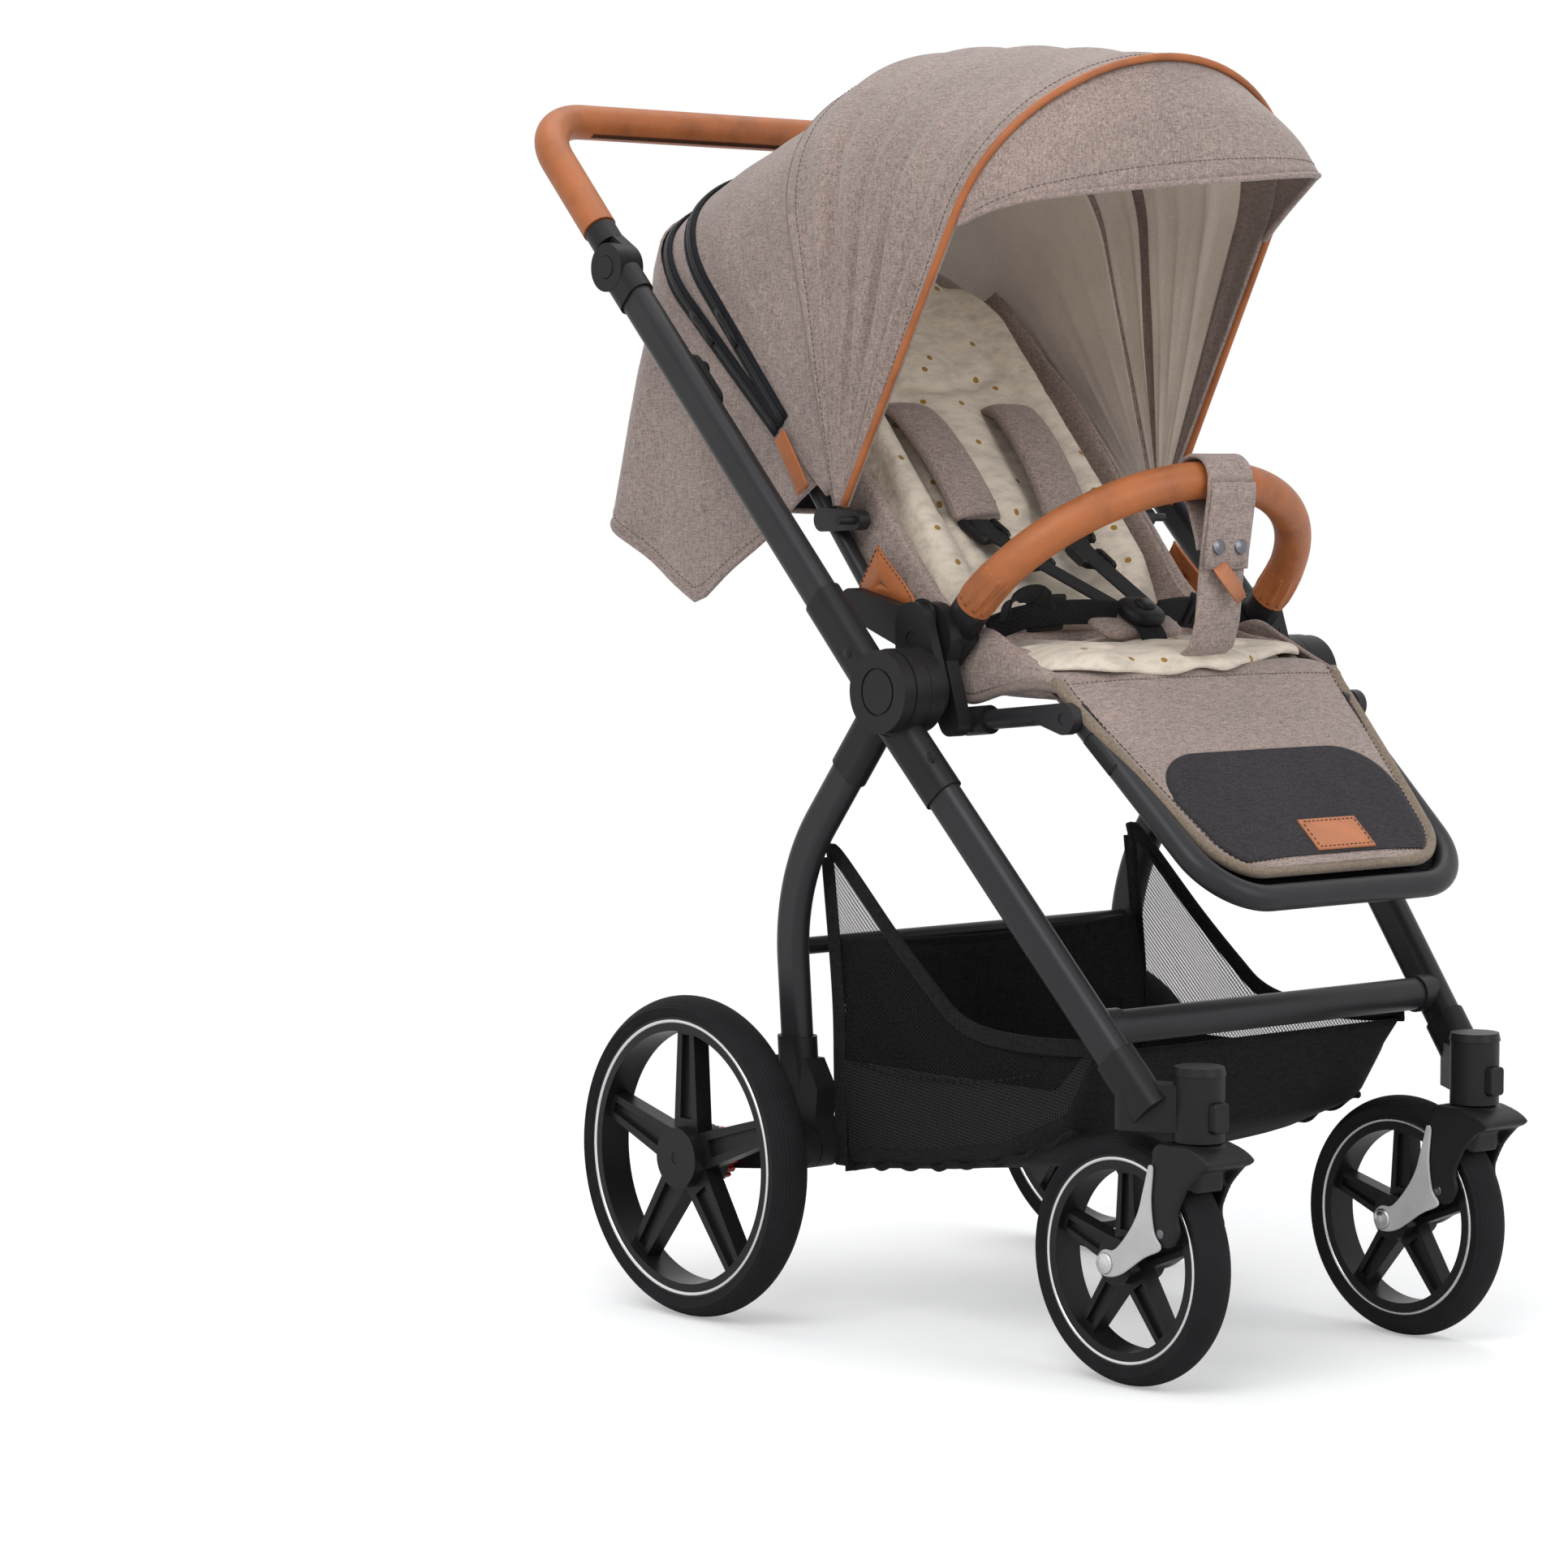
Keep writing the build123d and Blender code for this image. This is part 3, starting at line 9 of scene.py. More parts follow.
import bmesh
import bpy
import numpy as np
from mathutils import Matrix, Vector


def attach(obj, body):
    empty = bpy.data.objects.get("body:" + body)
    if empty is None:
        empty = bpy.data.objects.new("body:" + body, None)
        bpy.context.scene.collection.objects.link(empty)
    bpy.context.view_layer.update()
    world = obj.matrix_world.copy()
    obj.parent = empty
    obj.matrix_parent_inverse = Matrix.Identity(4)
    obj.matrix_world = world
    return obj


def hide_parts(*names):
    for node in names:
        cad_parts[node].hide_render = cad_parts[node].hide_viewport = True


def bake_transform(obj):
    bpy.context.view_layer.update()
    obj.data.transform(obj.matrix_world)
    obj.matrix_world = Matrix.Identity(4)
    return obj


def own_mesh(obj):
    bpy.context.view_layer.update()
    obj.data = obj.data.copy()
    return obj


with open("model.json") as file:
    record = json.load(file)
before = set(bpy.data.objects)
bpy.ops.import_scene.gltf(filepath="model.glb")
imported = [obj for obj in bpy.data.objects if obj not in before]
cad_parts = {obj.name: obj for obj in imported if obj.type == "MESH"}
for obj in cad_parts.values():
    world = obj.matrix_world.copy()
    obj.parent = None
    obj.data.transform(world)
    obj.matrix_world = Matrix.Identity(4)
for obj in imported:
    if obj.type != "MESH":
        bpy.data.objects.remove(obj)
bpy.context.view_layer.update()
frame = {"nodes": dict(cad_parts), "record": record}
nodes = frame["nodes"]
scene = bpy.context.scene
SIDES = (("left", 1), ("right", -1))
MM = 0.001
WELD = 1e-6  # metres between points that count as one
TINY = 1e-9  # keeps a division from failing


def add_object(name, data):
    obj = bpy.data.objects.new(name, data)
    scene.collection.objects.link(obj)
    return obj


class Graph:
    """Short calls for a node tree."""

    def __init__(self, owner):
        owner.use_nodes = True
        self.tree = owner.node_tree

    def feed(self, socket, value):
        """Set a socket to a value, or link another socket to it."""
        if isinstance(value, bpy.types.NodeSocket):
            self.tree.links.new(value, socket)
        else:
            socket.default_value = value

    def node(self, kind, inputs=None, out=0, **values):
        """Output of a new shader node, or all outputs for None; inputs are {socket: value or output}."""
        made = self.tree.nodes.new("ShaderNode" + kind)
        for key, value in values.items():
            setattr(made, key, value)
        for key, value in (inputs or {}).items():
            self.feed(made.inputs[key], value)
        return made.outputs if out is None else made.outputs[out]

    def math(self, operation, *values):
        return self.node("Math", dict(enumerate(values)), operation=operation)


# Camera, light and floor, in metres
LENS, SENSOR = 101.25, 36
CAMERA_PLACE = (-2.8365, -3.0158, 0.7896)
CAMERA_TURN = (85.93, 0, -40.145)  # degrees
LAMPS = (  # name, place, target, side of the square, watts
    ("key", (-3.2, -1.6, 3.4), (0, 0, 0.6), 2.6, 88),
    ("front", (0.6, -4.2, 2.2), (0, 0, 0.6), 2.4, 52),
    ("top", (0.4, 0.6, 4.2), (0, 0, 0.5), 3.0, 54),
)
WHITE = (1, 1, 1, 1)
SKY, SKY_LEVEL = (0.95, 0.97, 1.0, 1), 0.5
FLOOR_REACH = 14.0
FLOOR_GREY = (0.86, 0.86, 0.86, 1)
FLOOR_GLOW = 0.34
FADE_START, FADE_END = 0.75, 1.9  # distance from the middle of the floor


def add_camera():
    data = bpy.data.cameras.new("camera")
    data.sensor_width, data.lens = SENSOR, LENS
    obj = add_object("camera", data)
    obj.location = CAMERA_PLACE
    obj.rotation_euler = [radians(turn) for turn in CAMERA_TURN]
    scene.camera = obj


def add_lamp(name, place, target, size, watts):
    data = bpy.data.lights.new(name, "AREA")
    data.shape = "RECTANGLE"
    data.size = data.size_y = size
    data.energy = watts
    obj = add_object(name, data)
    obj.location = place
    obj.rotation_euler = (Vector(target) - Vector(place)).to_track_quat("-Z", "Y").to_euler()


def add_world():
    """Soft light from all round that the camera and reflections see as white."""
    scene.world = bpy.data.worlds.new("studio")
    graph = Graph(scene.world)
    graph.tree.nodes.clear()
    rays = graph.node("LightPath", out=None)
    seen = graph.math("MAXIMUM", rays["Is Camera Ray"], rays["Is Glossy Ray"])
    seen = graph.math("MAXIMUM", seen, rays["Is Transmission Ray"])
    soft = graph.node("Background", {"Color": SKY, "Strength": SKY_LEVEL})
    white = graph.node("Background", {"Color": WHITE, "Strength": 1})
    graph.node("OutputWorld", {"Surface": graph.node("MixShader", {0: seen, 1: soft, 2: white})}, None)


def add_floor():
    """Pale floor that keeps the shadow and turns into the white background further out."""
    data = bpy.data.meshes.new("floor")
    corners = [(x * FLOOR_REACH, y * FLOOR_REACH, 0) for x, y in ((-1, -1), (1, -1), (1, 1), (-1, 1))]
    data.from_pydata(corners, [], [(0, 1, 2, 3)])
    obj = add_object("floor", data)
    mat = bpy.data.materials.new("floor")
    graph = Graph(mat)
    graph.tree.nodes.clear()
    rays = graph.node("LightPath", out=None)
    seen = graph.math("MAXIMUM", rays["Is Camera Ray"], rays["Is Glossy Ray"])
    diffuse = graph.node("BsdfDiffuse", {"Color": FLOOR_GREY})
    glow = graph.node("Emission", {"Strength": graph.math("MULTIPLY", rays["Is Camera Ray"], FLOOR_GLOW)})
    near = graph.node("AddShader", {0: diffuse, 1: glow})
    far = graph.node("VectorMath", {0: graph.node("TexCoord", out="Object")}, "Value", operation="LENGTH")
    span = {"Value": far, "From Min": FADE_START, "From Max": FADE_END}
    fade = graph.node("MapRange", span, interpolation_type="SMOOTHSTEP")
    share = graph.math("MULTIPLY", fade, seen)
    mix = graph.node("MixShader", {0: share, 1: near, 2: graph.node("Emission")})
    graph.node("OutputMaterial", {"Surface": mix}, None)
    data.materials.append(mat)


scene.view_settings.view_transform = "Standard"
add_camera()
add_world()
add_floor()
for lamp in LAMPS:
    add_lamp(*lamp)


# Materials
class Paint(Graph):
    """A Principled material with procedural detail in object coordinates (metres)."""

    def __init__(self, name, color, rough, gloss=0.5, **sockets):
        self.mat = bpy.data.materials.new(name)
        super().__init__(self.mat)
        self.base = color
        self.inputs = self.tree.nodes["Principled BSDF"].inputs
        self.inputs["Base Color"].default_value = (*color, 1)
        self.inputs["Roughness"].default_value = rough
        self.inputs["Specular IOR Level"].default_value = gloss
        for key, value in sockets.items():
            self.inputs[key.replace("_", " ")].default_value = value
        self.where = self.node("TexCoord", out="Object")
        self.normal = None

    def noise(self, scale, detail=3.0, rough=0.55, stretch=(1, 1, 1)):
        place = self.node("Mapping", {"Vector": self.where, "Scale": stretch})
        return self.node("TexNoise", {"Vector": place, "Scale": scale, "Detail": detail, "Roughness": rough})

    def thread(self, direction, period):
        """Sine wave along a direction, one wave per period (millimetres)."""
        along = self.node("VectorMath", {0: self.where, 1: direction}, "Value", operation="DOT_PRODUCT")
        return self.math("SINE", self.math("MULTIPLY", along, 2 * pi * 1000 / period))

    def ramp(self, value, *stops):
        made = self.node("ValToRGB", {0: value})
        elements = made.node.color_ramp.elements
        while len(elements) < len(stops):
            elements.new(0.5)
        for element, (at, color) in zip(elements, stops):
            element.position = at
            element.color = (*color, 1)
        return made

    def tones(self, value, *stops):
        """Ramp between darker and lighter levels of the base colour."""
        shades = [(at, [min(1.0, channel * level) for channel in self.base]) for at, level in stops]
        return self.ramp(value, *shades)

    def mix(self, fac, first, second, blend):
        inputs = {0: fac, 6: first, 7: second}
        return self.node("Mix", inputs, 2, data_type="RGBA", blend_type=blend)

    def color(self, value):
        self.feed(self.inputs["Base Color"], value)

    def rough(self, value, low, high):
        span = self.node("MapRange", {"Value": value, "To Min": low, "To Max": high})
        self.feed(self.inputs["Roughness"], span)

    def bump(self, value, depth, strength):
        """Add a height layer; depth in millimetres."""
        inputs = {"Distance": depth * MM, "Strength": strength, "Height": value}
        if self.normal is not None:
            inputs["Normal"] = self.normal
        self.normal = self.node("Bump", inputs)
        self.feed(self.inputs["Normal"], self.normal)


SLUB = 0.16  # stretch of the noise along a thread
GOLD = (0.34, 0.19, 0.04, 1)
DOTS_PER_METRE, DOT_RADIUS = 20, 0.066  # radius in dot spacings


def woven(name, color, spread=0.22, period=2.0, depth=0.5, rough=0.92, sheen=0.25, gloss=0.2):
    """Melange cloth: crossed slubby threads, flecked yarn and a slow change of tone."""
    paint = Paint(name, color, rough, Sheen_Weight=sheen, Sheen_Roughness=0.5, gloss=gloss)
    ways = ((SLUB, 1, 1), (1, SLUB, 1), (1, 1, SLUB))
    first, second, third = (paint.noise(1100 / period, 2.0, 0.6, way) for way in ways)
    threads = paint.math("ADD", paint.math("ADD", first, second), third)
    grain = paint.math("MULTIPLY", threads, 1 / 3)
    yarn = paint.tones(grain, (0.36, 1 - 1.9 * spread), (0.5, 1), (0.64, 1 + 1.7 * spread))
    slow = paint.ramp(paint.noise(9), (0.3, (0.9, 0.9, 0.9)), (0.7, (1.06, 1.05, 1.04)))
    paint.color(paint.mix(1.0, yarn, slow, "MULTIPLY"))
    paint.bump(paint.noise(38), 1.2, 0.35)
    paint.bump(grain, depth * 1.6, 0.8)
    return paint.mat


def leather(name, color, rough=0.42):
    """Oiled leather: pores, fine grain, darker rubbed patches."""
    paint = Paint(name, color, rough, gloss=0.45)
    pores = paint.node("TexVoronoi", {"Vector": paint.where, "Scale": 900}, "Distance", feature="F1")
    tone = paint.noise(24, 5.0, 0.6)
    paint.color(paint.tones(tone, (0.3, 0.7), (0.5, 1), (0.75, 1.2)))
    paint.rough(tone, rough - 0.06, rough + 0.14)
    paint.bump(paint.noise(120), 0.5, 0.4)
    paint.bump(pores, 0.25, 0.5)
    return paint.mat


def plastic(name, color, rough, gloss=0.45):
    """Moulded plastic with an etched grain and slightly uneven gloss."""
    paint = Paint(name, color, rough, gloss=gloss)
    tone = paint.noise(18)
    paint.color(paint.tones(tone, (0.3, 0.86), (0.7, 1.12)))
    paint.rough(tone, rough - 0.05, rough + 0.08)
    paint.bump(paint.noise(1400, 2.0), 0.12, 0.5)
    return paint.mat


def anodised(name, color, rough):
    """Satin tube: fine powder texture with a metallic sheen."""
    paint = Paint(name, color, rough, Metallic=0.25, gloss=0.26)
    paint.rough(paint.noise(1200, 2.0), rough - 0.06, rough + 0.08)
    paint.color(paint.tones(paint.noise(12, 2.0), (0.3, 0.92), (0.7, 1.1)))
    paint.bump(paint.noise(2600, 1.0), 0.05, 0.4)
    return paint.mat


def muslin(name, color):
    """Crinkled cotton gauze with small scattered gold dots; its colour follows the crinkle height, with
    painted shade in the hollows and a little painted light on the tops.
    """
    paint = Paint(name, color, 0.95, Sheen_Weight=0.2, gloss=0.15)
    crinkle = paint.noise(95, 4.0, 0.62, (0.35, 1, 1))
    # Painted shade in the crinkle hollows and a little painted light on the tops: the colour follows the same
    # crinkle height as the bump.
    tone = paint.tones(crinkle, (0.32, 0.76), (0.55, 1), (0.8, 1.08))
    axes = paint.node("SeparateXYZ", {0: paint.where}, None)
    run = paint.math("MULTIPLY", paint.math("ADD", axes[1], axes[2]), 0.8)
    flat = paint.node("CombineXYZ", {0: axes[0], 1: run})
    spread = {"Vector": flat, "Scale": DOTS_PER_METRE, "Randomness": 0.8}
    spots = paint.node("TexVoronoi", spread, "Distance", feature="F1", voronoi_dimensions="2D")
    dot = paint.math("LESS_THAN", spots, DOT_RADIUS)
    paint.color(paint.mix(dot, tone, GOLD, "MIX"))
    paint.bump(crinkle, 3.2, 0.75)
    paint.bump(paint.noise(700, 2.0), 0.3, 0.5)
    return paint.mat


def rubber(name, color):
    """Foam tyre: matt with fine ribs round the tread."""
    paint = Paint(name, color, 0.78, gloss=0.12)
    paint.color(paint.tones(paint.noise(30, 4.0), (0.3, 0.85), (0.7, 1.15)))
    paint.bump(paint.thread((1, 0, 0), 3.4), 0.35, 0.6)
    paint.bump(paint.noise(1500, 2.0), 0.15, 0.6)
    return paint.mat


def webbing(name, color, period=2.2):
    """Ribbed strap webbing."""
    paint = Paint(name, color, 0.8, Sheen_Weight=0.04, gloss=0.12)
    first, second = (paint.thread(way, period) for way in ((0.9, 0.3, 0.3), (-0.2, 0.6, 0.77)))
    rib = paint.math("MULTIPLY", first, second)
    paint.color(paint.tones(rib, (0.2, 0.7), (0.8, 1.25)))
    paint.bump(rib, 0.5, 0.8)
    return paint.mat


def net(name, color, period, solid):
    """Open net: threads are opaque, the holes between them are clear."""
    paint = Paint(name, color, 0.7, gloss=0.12)
    ways = ((0.25, 0.7, 0.66), (0.25, -0.66, 0.7))
    warp, weft = (paint.math("GREATER_THAN", paint.thread(way, period), solid) for way in ways)
    paint.feed(paint.inputs["Alpha"], paint.math("MAXIMUM", warp, weft))
    paint.bump(paint.noise(600, 2.0), 0.2, 0.5)
    return paint.mat


def grid_cloth(name, color, period):
    """Close net backed by cloth: paler threads over dark holes."""
    paint = Paint(name, color, 0.75, gloss=0.15)
    warp, weft = (paint.thread(way, period) for way in ((0.6, 1, 0.12), (0.1, -0.12, 1)))
    cross = paint.math("MAXIMUM", warp, weft)
    paint.color(paint.tones(cross, (0.2, 0.25), (0.75, 2.1)))
    paint.bump(cross, 0.6, 0.8)
    return paint.mat


def metal(name, color, rough):
    """Brushed metal."""
    paint = Paint(name, color, rough, Metallic=1.0)
    paint.rough(paint.noise(300, 3.0, 0.6, (1, 1, 6)), rough - 0.08, rough + 0.1)
    paint.bump(paint.noise(900, 2.0), 0.04, 0.4)
    return paint.mat


TAUPE = woven("taupe_melange", (0.32, 0.25, 0.222), 0.26, 1.7)
TAUPE_DARK = woven("taupe_facing", (0.235, 0.182, 0.158), 0.18)
OLIVE = woven("olive_hem", (0.225, 0.175, 0.128), 0.2, 1.6)
LINING = woven("beige_lining", (0.84, 0.75, 0.665), 0.05, 1.2, 0.2, 0.85, 0.1)
CREAM = muslin("cream_muslin", (0.74, 0.65, 0.54))
PATCH = woven("dark_patch", (0.04, 0.037, 0.041), 0.26, 1.6, 0.35, 0.92, 0.05, 0.1)
LEATHER = leather("cognac_leather", (0.385, 0.117, 0.032))
TAN = leather("tan_label", (0.46, 0.17, 0.075), 0.5)
BLACK = plastic("black_plastic", (0.013, 0.0125, 0.0138), 0.42, 0.2)
RIM = plastic("rim_plastic", (0.011, 0.011, 0.012), 0.34, 0.2)
GREY = plastic("grey_plastic", (0.5, 0.5, 0.49), 0.4)
RED = plastic("red_plastic", (0.42, 0.02, 0.015), 0.38)
TUBE = anodised("charcoal_tube", (0.026, 0.0245, 0.0268), 0.38)
TYRE = rubber("foam_tyre", (0.0145, 0.014, 0.0155))
STEEL = metal("steel", (0.62, 0.62, 0.62), 0.3)
SILVER = metal("silver_trim", (0.72, 0.72, 0.73), 0.24)
CLOTH = woven("black_cloth", (0.012, 0.012, 0.013), 0.3, 2.4, 0.5, 0.85, 0.03, 0.1)
MESH = net("black_mesh", (0.012, 0.012, 0.013), 3.0, 0.8)
WEB = webbing("black_webbing", (0.02, 0.02, 0.022))
ZIP = webbing("zip_tape", (0.016, 0.017, 0.022), 1.5)
STITCH = webbing("dark_stitch", (0.05, 0.022, 0.014), 1.2)
THREAD = webbing("taupe_thread", (0.235, 0.185, 0.165), 1.2)
NETCLOTH = grid_cloth("dense_net", (0.0115, 0.0115, 0.0125), 3.0)
SNAP = metal("dark_snap", (0.16, 0.16, 0.18), 0.32)

SLOT_PAINT = {
    "charcoal_tube": TUBE, "black_plastic": BLACK, "grey_plastic": GREY, "red_plastic": RED, "rim_black": RIM,
    "tyre": TYRE, "steel": STEEL, "black_cloth": CLOTH, "webbing": WEB, "taupe_cloth": TAUPE,
    "cream_cloth": CREAM, "leather": LEATHER,
}
for entry in frame["record"]["subparts"]:
    data = nodes[entry["node"]].data
    data.materials.clear()
    data.materials.append(BLACK if "swivel_lock" in entry["node"] else SLOT_PAINT[entry["material_slot"]])


# Lines and sections
def unit(vectors):
    """Vectors scaled to length one."""
    return vectors / np.maximum(np.linalg.norm(vectors, axis=-1, keepdims=True), TINY)


def run_of(points):
    """Distance of each point of a line from its start."""
    return np.concatenate([[0], np.cumsum(np.linalg.norm(np.diff(points, axis=0), axis=1))])


def at_run(points, run, at):
    """Points of a line at given distances along it."""
    return np.stack([np.interp(at, run, points[:, k]) for k in range(points.shape[1])], axis=-1)


def resample(points, count):
    """Evenly spaced points along a line of points."""
    points = np.asarray(points, float)
    run = run_of(points)
    return at_run(points, run, np.linspace(0, run[-1], count))


def smooth_line(points, count):
    """Catmull-Rom line through a few points."""
    points = np.asarray(points, float)
    padded = np.vstack([2 * points[0] - points[1], points, 2 * points[-1] - points[-2]])
    line = []
    for i in range(len(points) - 1):
        p0, p1, p2, p3 = padded[i:i + 4]
        for t in np.linspace(0, 1, 24, endpoint=False):
            line.append(0.5 * (2 * p1 + (p2 - p0) * t + (2 * p0 - 5 * p1 + 4 * p2 - p3) * t ** 2
                               + (3 * p1 - p0 - 3 * p2 + p3) * t ** 3))
    return resample([*line, points[-1]], count)


def smooth_ring(points, count):
    """Smooth outline through a few points; the last of count points, equal to the first, is left off."""
    return smooth_line([*points, points[0]], count)[:-1]


def on_side(points, side):
    """Points given for the left, put on one side."""
    return [(side * x, y, z) for x, y, z in points]


def upright(x, line):
    """Line of (Y, Z) points set at one X."""
    return np.stack([np.full(len(line), x), line[:, 0], line[:, 1]], axis=1)


def facing(grid, way):
    """Unit normals of a grid of points, turned so that its middle looks a given way."""
    normal = unit(np.cross(np.gradient(grid, axis=0), np.gradient(grid, axis=1)))
    middle = normal[grid.shape[0] // 2, grid.shape[1] // 2]
    return normal if middle @ np.asarray(way, float) > 0 else -normal


def circle(radius, sides=14):
    return [(radius * cos(2 * pi * k / sides), radius * sin(2 * pi * k / sides)) for k in range(sides)]


def band(width, thick):
    """Flat strap section with soft edges."""
    w, t = width / 2, thick / 2
    low = [(-w, -t * 0.5), (-w + t, -t), (w - t, -t), (w, -t * 0.5)]
    return low + [(-a, -b) for a, b in low]


def ribbon(width, thick):
    """Flat strap section with soft edges and points across its width."""
    w, t = width / 2, thick / 2
    low = [(-w, -t * 0.4), *[(a, -t) for a in np.linspace(-w + t, w - t, 7)], (w, -t * 0.4)]
    return low + [(-a, -b) for a, b in low]


def pillow(width, thick, sides=28):
    """Section of a soft pad: rounded, thickest in the middle."""
    return [(width / 2 * power(a, 0.7), thick / 2 * power(b, 0.8)) for a, b in circle(1, sides)]


def power(value, exponent):
    """Power that keeps the sign."""
    return abs(value) ** exponent * (1 if value >= 0 else -1)


# Mesh helpers
def outward(work):
    bmesh.ops.recalc_face_normals(work, faces=work.faces)


def weld(work):
    bmesh.ops.remove_doubles(work, verts=work.verts, dist=WELD)


def relax(work):
    axes = {"use_axis_x": True, "use_axis_y": True, "use_axis_z": True}
    bmesh.ops.smooth_vert(work, verts=work.verts, factor=0.5, **axes)


def rework(data, *steps):
    """Run steps on a mesh in its bmesh form."""
    work = bmesh.new()
    work.from_mesh(data)
    for step in steps:
        step(work)
    work.to_mesh(data)
    work.free()


def set_smooth(data, smooth=True):
    data.polygons.foreach_set("use_smooth", [smooth] * len(data.polygons))


def voxel_remesh(obj, voxel, paint):
    """Rebuild an object from voxels (millimetres), in one material."""
    bpy.context.view_layer.objects.active = obj
    obj.data.remesh_voxel_size = voxel * MM
    bpy.ops.object.voxel_remesh()
    obj.data.materials.clear()
    obj.data.materials.append(paint)


def mesh_object(name, points, faces, paints, slots=None, steps=(outward,), smooth=True):
    """New closed object from millimetre points, its faces turned outwards."""
    data = bpy.data.meshes.new(name)
    data.from_pydata((np.asarray(points, float) * MM).tolist(), [], faces)
    for paint in paints:
        data.materials.append(paint)
    if slots is not None:
        data.polygons.foreach_set("material_index", slots)
    rework(data, *steps)
    set_smooth(data, smooth)
    data.update()
    return add_object(name, data)


def ring_faces(rings, sides, base=0, loop=False, caps=True):
    """Quads between rings of points, with a cap at each end unless the rings close on themselves."""
    faces = []
    for ring in range(rings if loop else rings - 1):
        low, high = base + ring * sides, base + (ring + 1) % rings * sides
        for s in range(sides):
            t = (s + 1) % sides
            faces.append((low + s, low + t, high + t, high + s))
    if caps and not loop:
        last = base + (rings - 1) * sides
        faces += [tuple(range(base, base + sides)), tuple(range(last, last + sides))]
    return faces


def double_sheet(name, outer, inner, paints, outer_slot=None, inner_slot=None):
    """Closed cloth of two grids (rows, columns, 3); slots are functions of a cell's row and column."""
    rows, cols, _ = outer.shape
    count = rows * cols
    faces, slots = [], []
    for row in range(rows - 1):
        for col in range(cols - 1):
            a = row * cols + col
            quad = (a, a + 1, a + cols + 1, a + cols)
            faces += [quad, tuple(count + i for i in reversed(quad))]
            slots += [slot(row, col) if slot else 0 for slot in (outer_slot, inner_slot)]
    border = list(range(cols)) + [row * cols + cols - 1 for row in range(1, rows)]
    border += [(rows - 1) * cols + col for col in range(cols - 2, -1, -1)]
    border += [row * cols for row in range(rows - 2, 0, -1)]
    for a, b in zip(border, border[1:] + border[:1]):
        faces.append((b, a, count + a, count + b))
        slots.append(0)
    return mesh_object(name, np.vstack([outer.reshape(-1, 3), inner.reshape(-1, 3)]), faces, paints, slots)


def second_paint(row, col):
    """Inner slot of a sheet that has its second material on the inside."""
    return 1


def cloth(name, grid, way, thick, *paints):
    """Sheet behind a grid that faces a given way, and the grid's normals; a second paint goes inside."""
    normal = facing(grid, way)
    inside = second_paint if len(paints) > 1 else None
    return double_sheet(name, grid, grid - normal * thick, paints, inner_slot=inside), normal


SKEW = (0.3, 0.2, 0.93)  # no path starts this way


def sweep(name, path, profile, paint, across=None, cyclic=False, scale=None):
    """Solid with a cross-section (a, b) along a path; a runs across, b along the path's normal."""
    path, profile = np.asarray(path, float), np.asarray(profile, float)
    count = len(path)
    tangent = np.roll(path, -1, 0) - np.roll(path, 1, 0) if cyclic else np.gradient(path, axis=0)
    tangent = unit(tangent)
    if across is None:
        side = np.cross(tangent[0], SKEW)
        across = []
        for step in tangent:
            side = unit(side - step * (side @ step))
            across.append(side)
    across = np.broadcast_to(np.asarray(across, float), path.shape)
    across = unit(across - tangent * (across * tangent).sum(1, keepdims=True))
    up = np.cross(tangent, across)
    size = np.ones(count) if scale is None else scale
    points = [path[k] + a * across[k] + b * up[k] for k in range(count) for a, b in profile * size[k]]
    return mesh_object(name, points, ring_faces(count, len(profile), loop=cyclic), [paint])


def strap(name, line, count, width, thick, paint, across, **more):
    """Ribbon along a smooth line."""
    return sweep(name, smooth_line(line, count), ribbon(width, thick), paint, across, **more)


def lathe(name, outline, centre, paint, steps):
    """Ring turned about the X axis from closed outline points (x, radius)."""
    x, y, z = centre
    points = [(x + a, y + radius * s, z + radius * c) for c, s in circle(1, steps) for a, radius in outline]
    return mesh_object(name, points, ring_faces(steps, len(outline), loop=True), [paint])


STITCH_SIDES = 6
STITCH_RINGS = ((0, 0.5, -0.3), (0.5, 1.0, 0.25), (1, 0.5, -0.3))  # share of the length, size and lift


def stitches(name, path, out, paint, length=3.6, gap=1.8, radius=0.45):
    """Row of sewn stitches along a path; out is the side that they lie on."""
    path = np.asarray(path, float)
    run = run_of(path)
    out = np.broadcast_to(np.asarray(out, float), path.shape)
    points, faces = [], []
    for begin in np.arange(gap, run[-1] - length, length + gap):
        at = [at_run(path, run, begin + length * share) for share, _, _ in STITCH_RINGS]
        step = unit(at[-1] - at[0])
        side = unit(np.cross(step, at_run(out, run, begin)))
        up = np.cross(side, step)
        faces += ring_faces(len(at), STITCH_SIDES, len(points))
        for place, (_, size, lift) in zip(at, STITCH_RINGS):
            middle = place + up * lift * radius
            points += [middle + side * a + up * b for a, b in circle(size * radius, STITCH_SIDES)]
    return mesh_object(name, points, faces, [paint])


def sewn_row(name, grid, normal, row, paint=THREAD, lift=0.3):
    """Stitches along one row of a sheet's grid."""
    return stitches(name, grid[row] + normal[row] * lift, normal[row], paint)


DOME_SIDES = 28
DOME_OUTLINE = (  # height and radius, as shares
    (0, 1.0), (0.25, 1.04), (0.5, 0.98), (0.62, 0.84), (0.6, 0.76), (0.85, 0.62), (0.97, 0.34), (1.0, 0.06),
)


def dome(name, centre, axis, radius, height, paint):
    """Snap or rivet head: a low dome with a rolled rim."""
    axis = Vector(axis).normalized()
    side = axis.orthogonal().normalized()
    across = axis.cross(side)
    points = []
    for rise, size in DOME_OUTLINE:
        middle = Vector(centre) + axis * rise * height
        points += [middle + (side * a + across * b) * size * radius for a, b in circle(1, DOME_SIDES)]
    return mesh_object(name, points, ring_faces(len(DOME_OUTLINE), DOME_SIDES), [paint])


PEBBLE_ROWS, PEBBLE_COLS = 19, 48


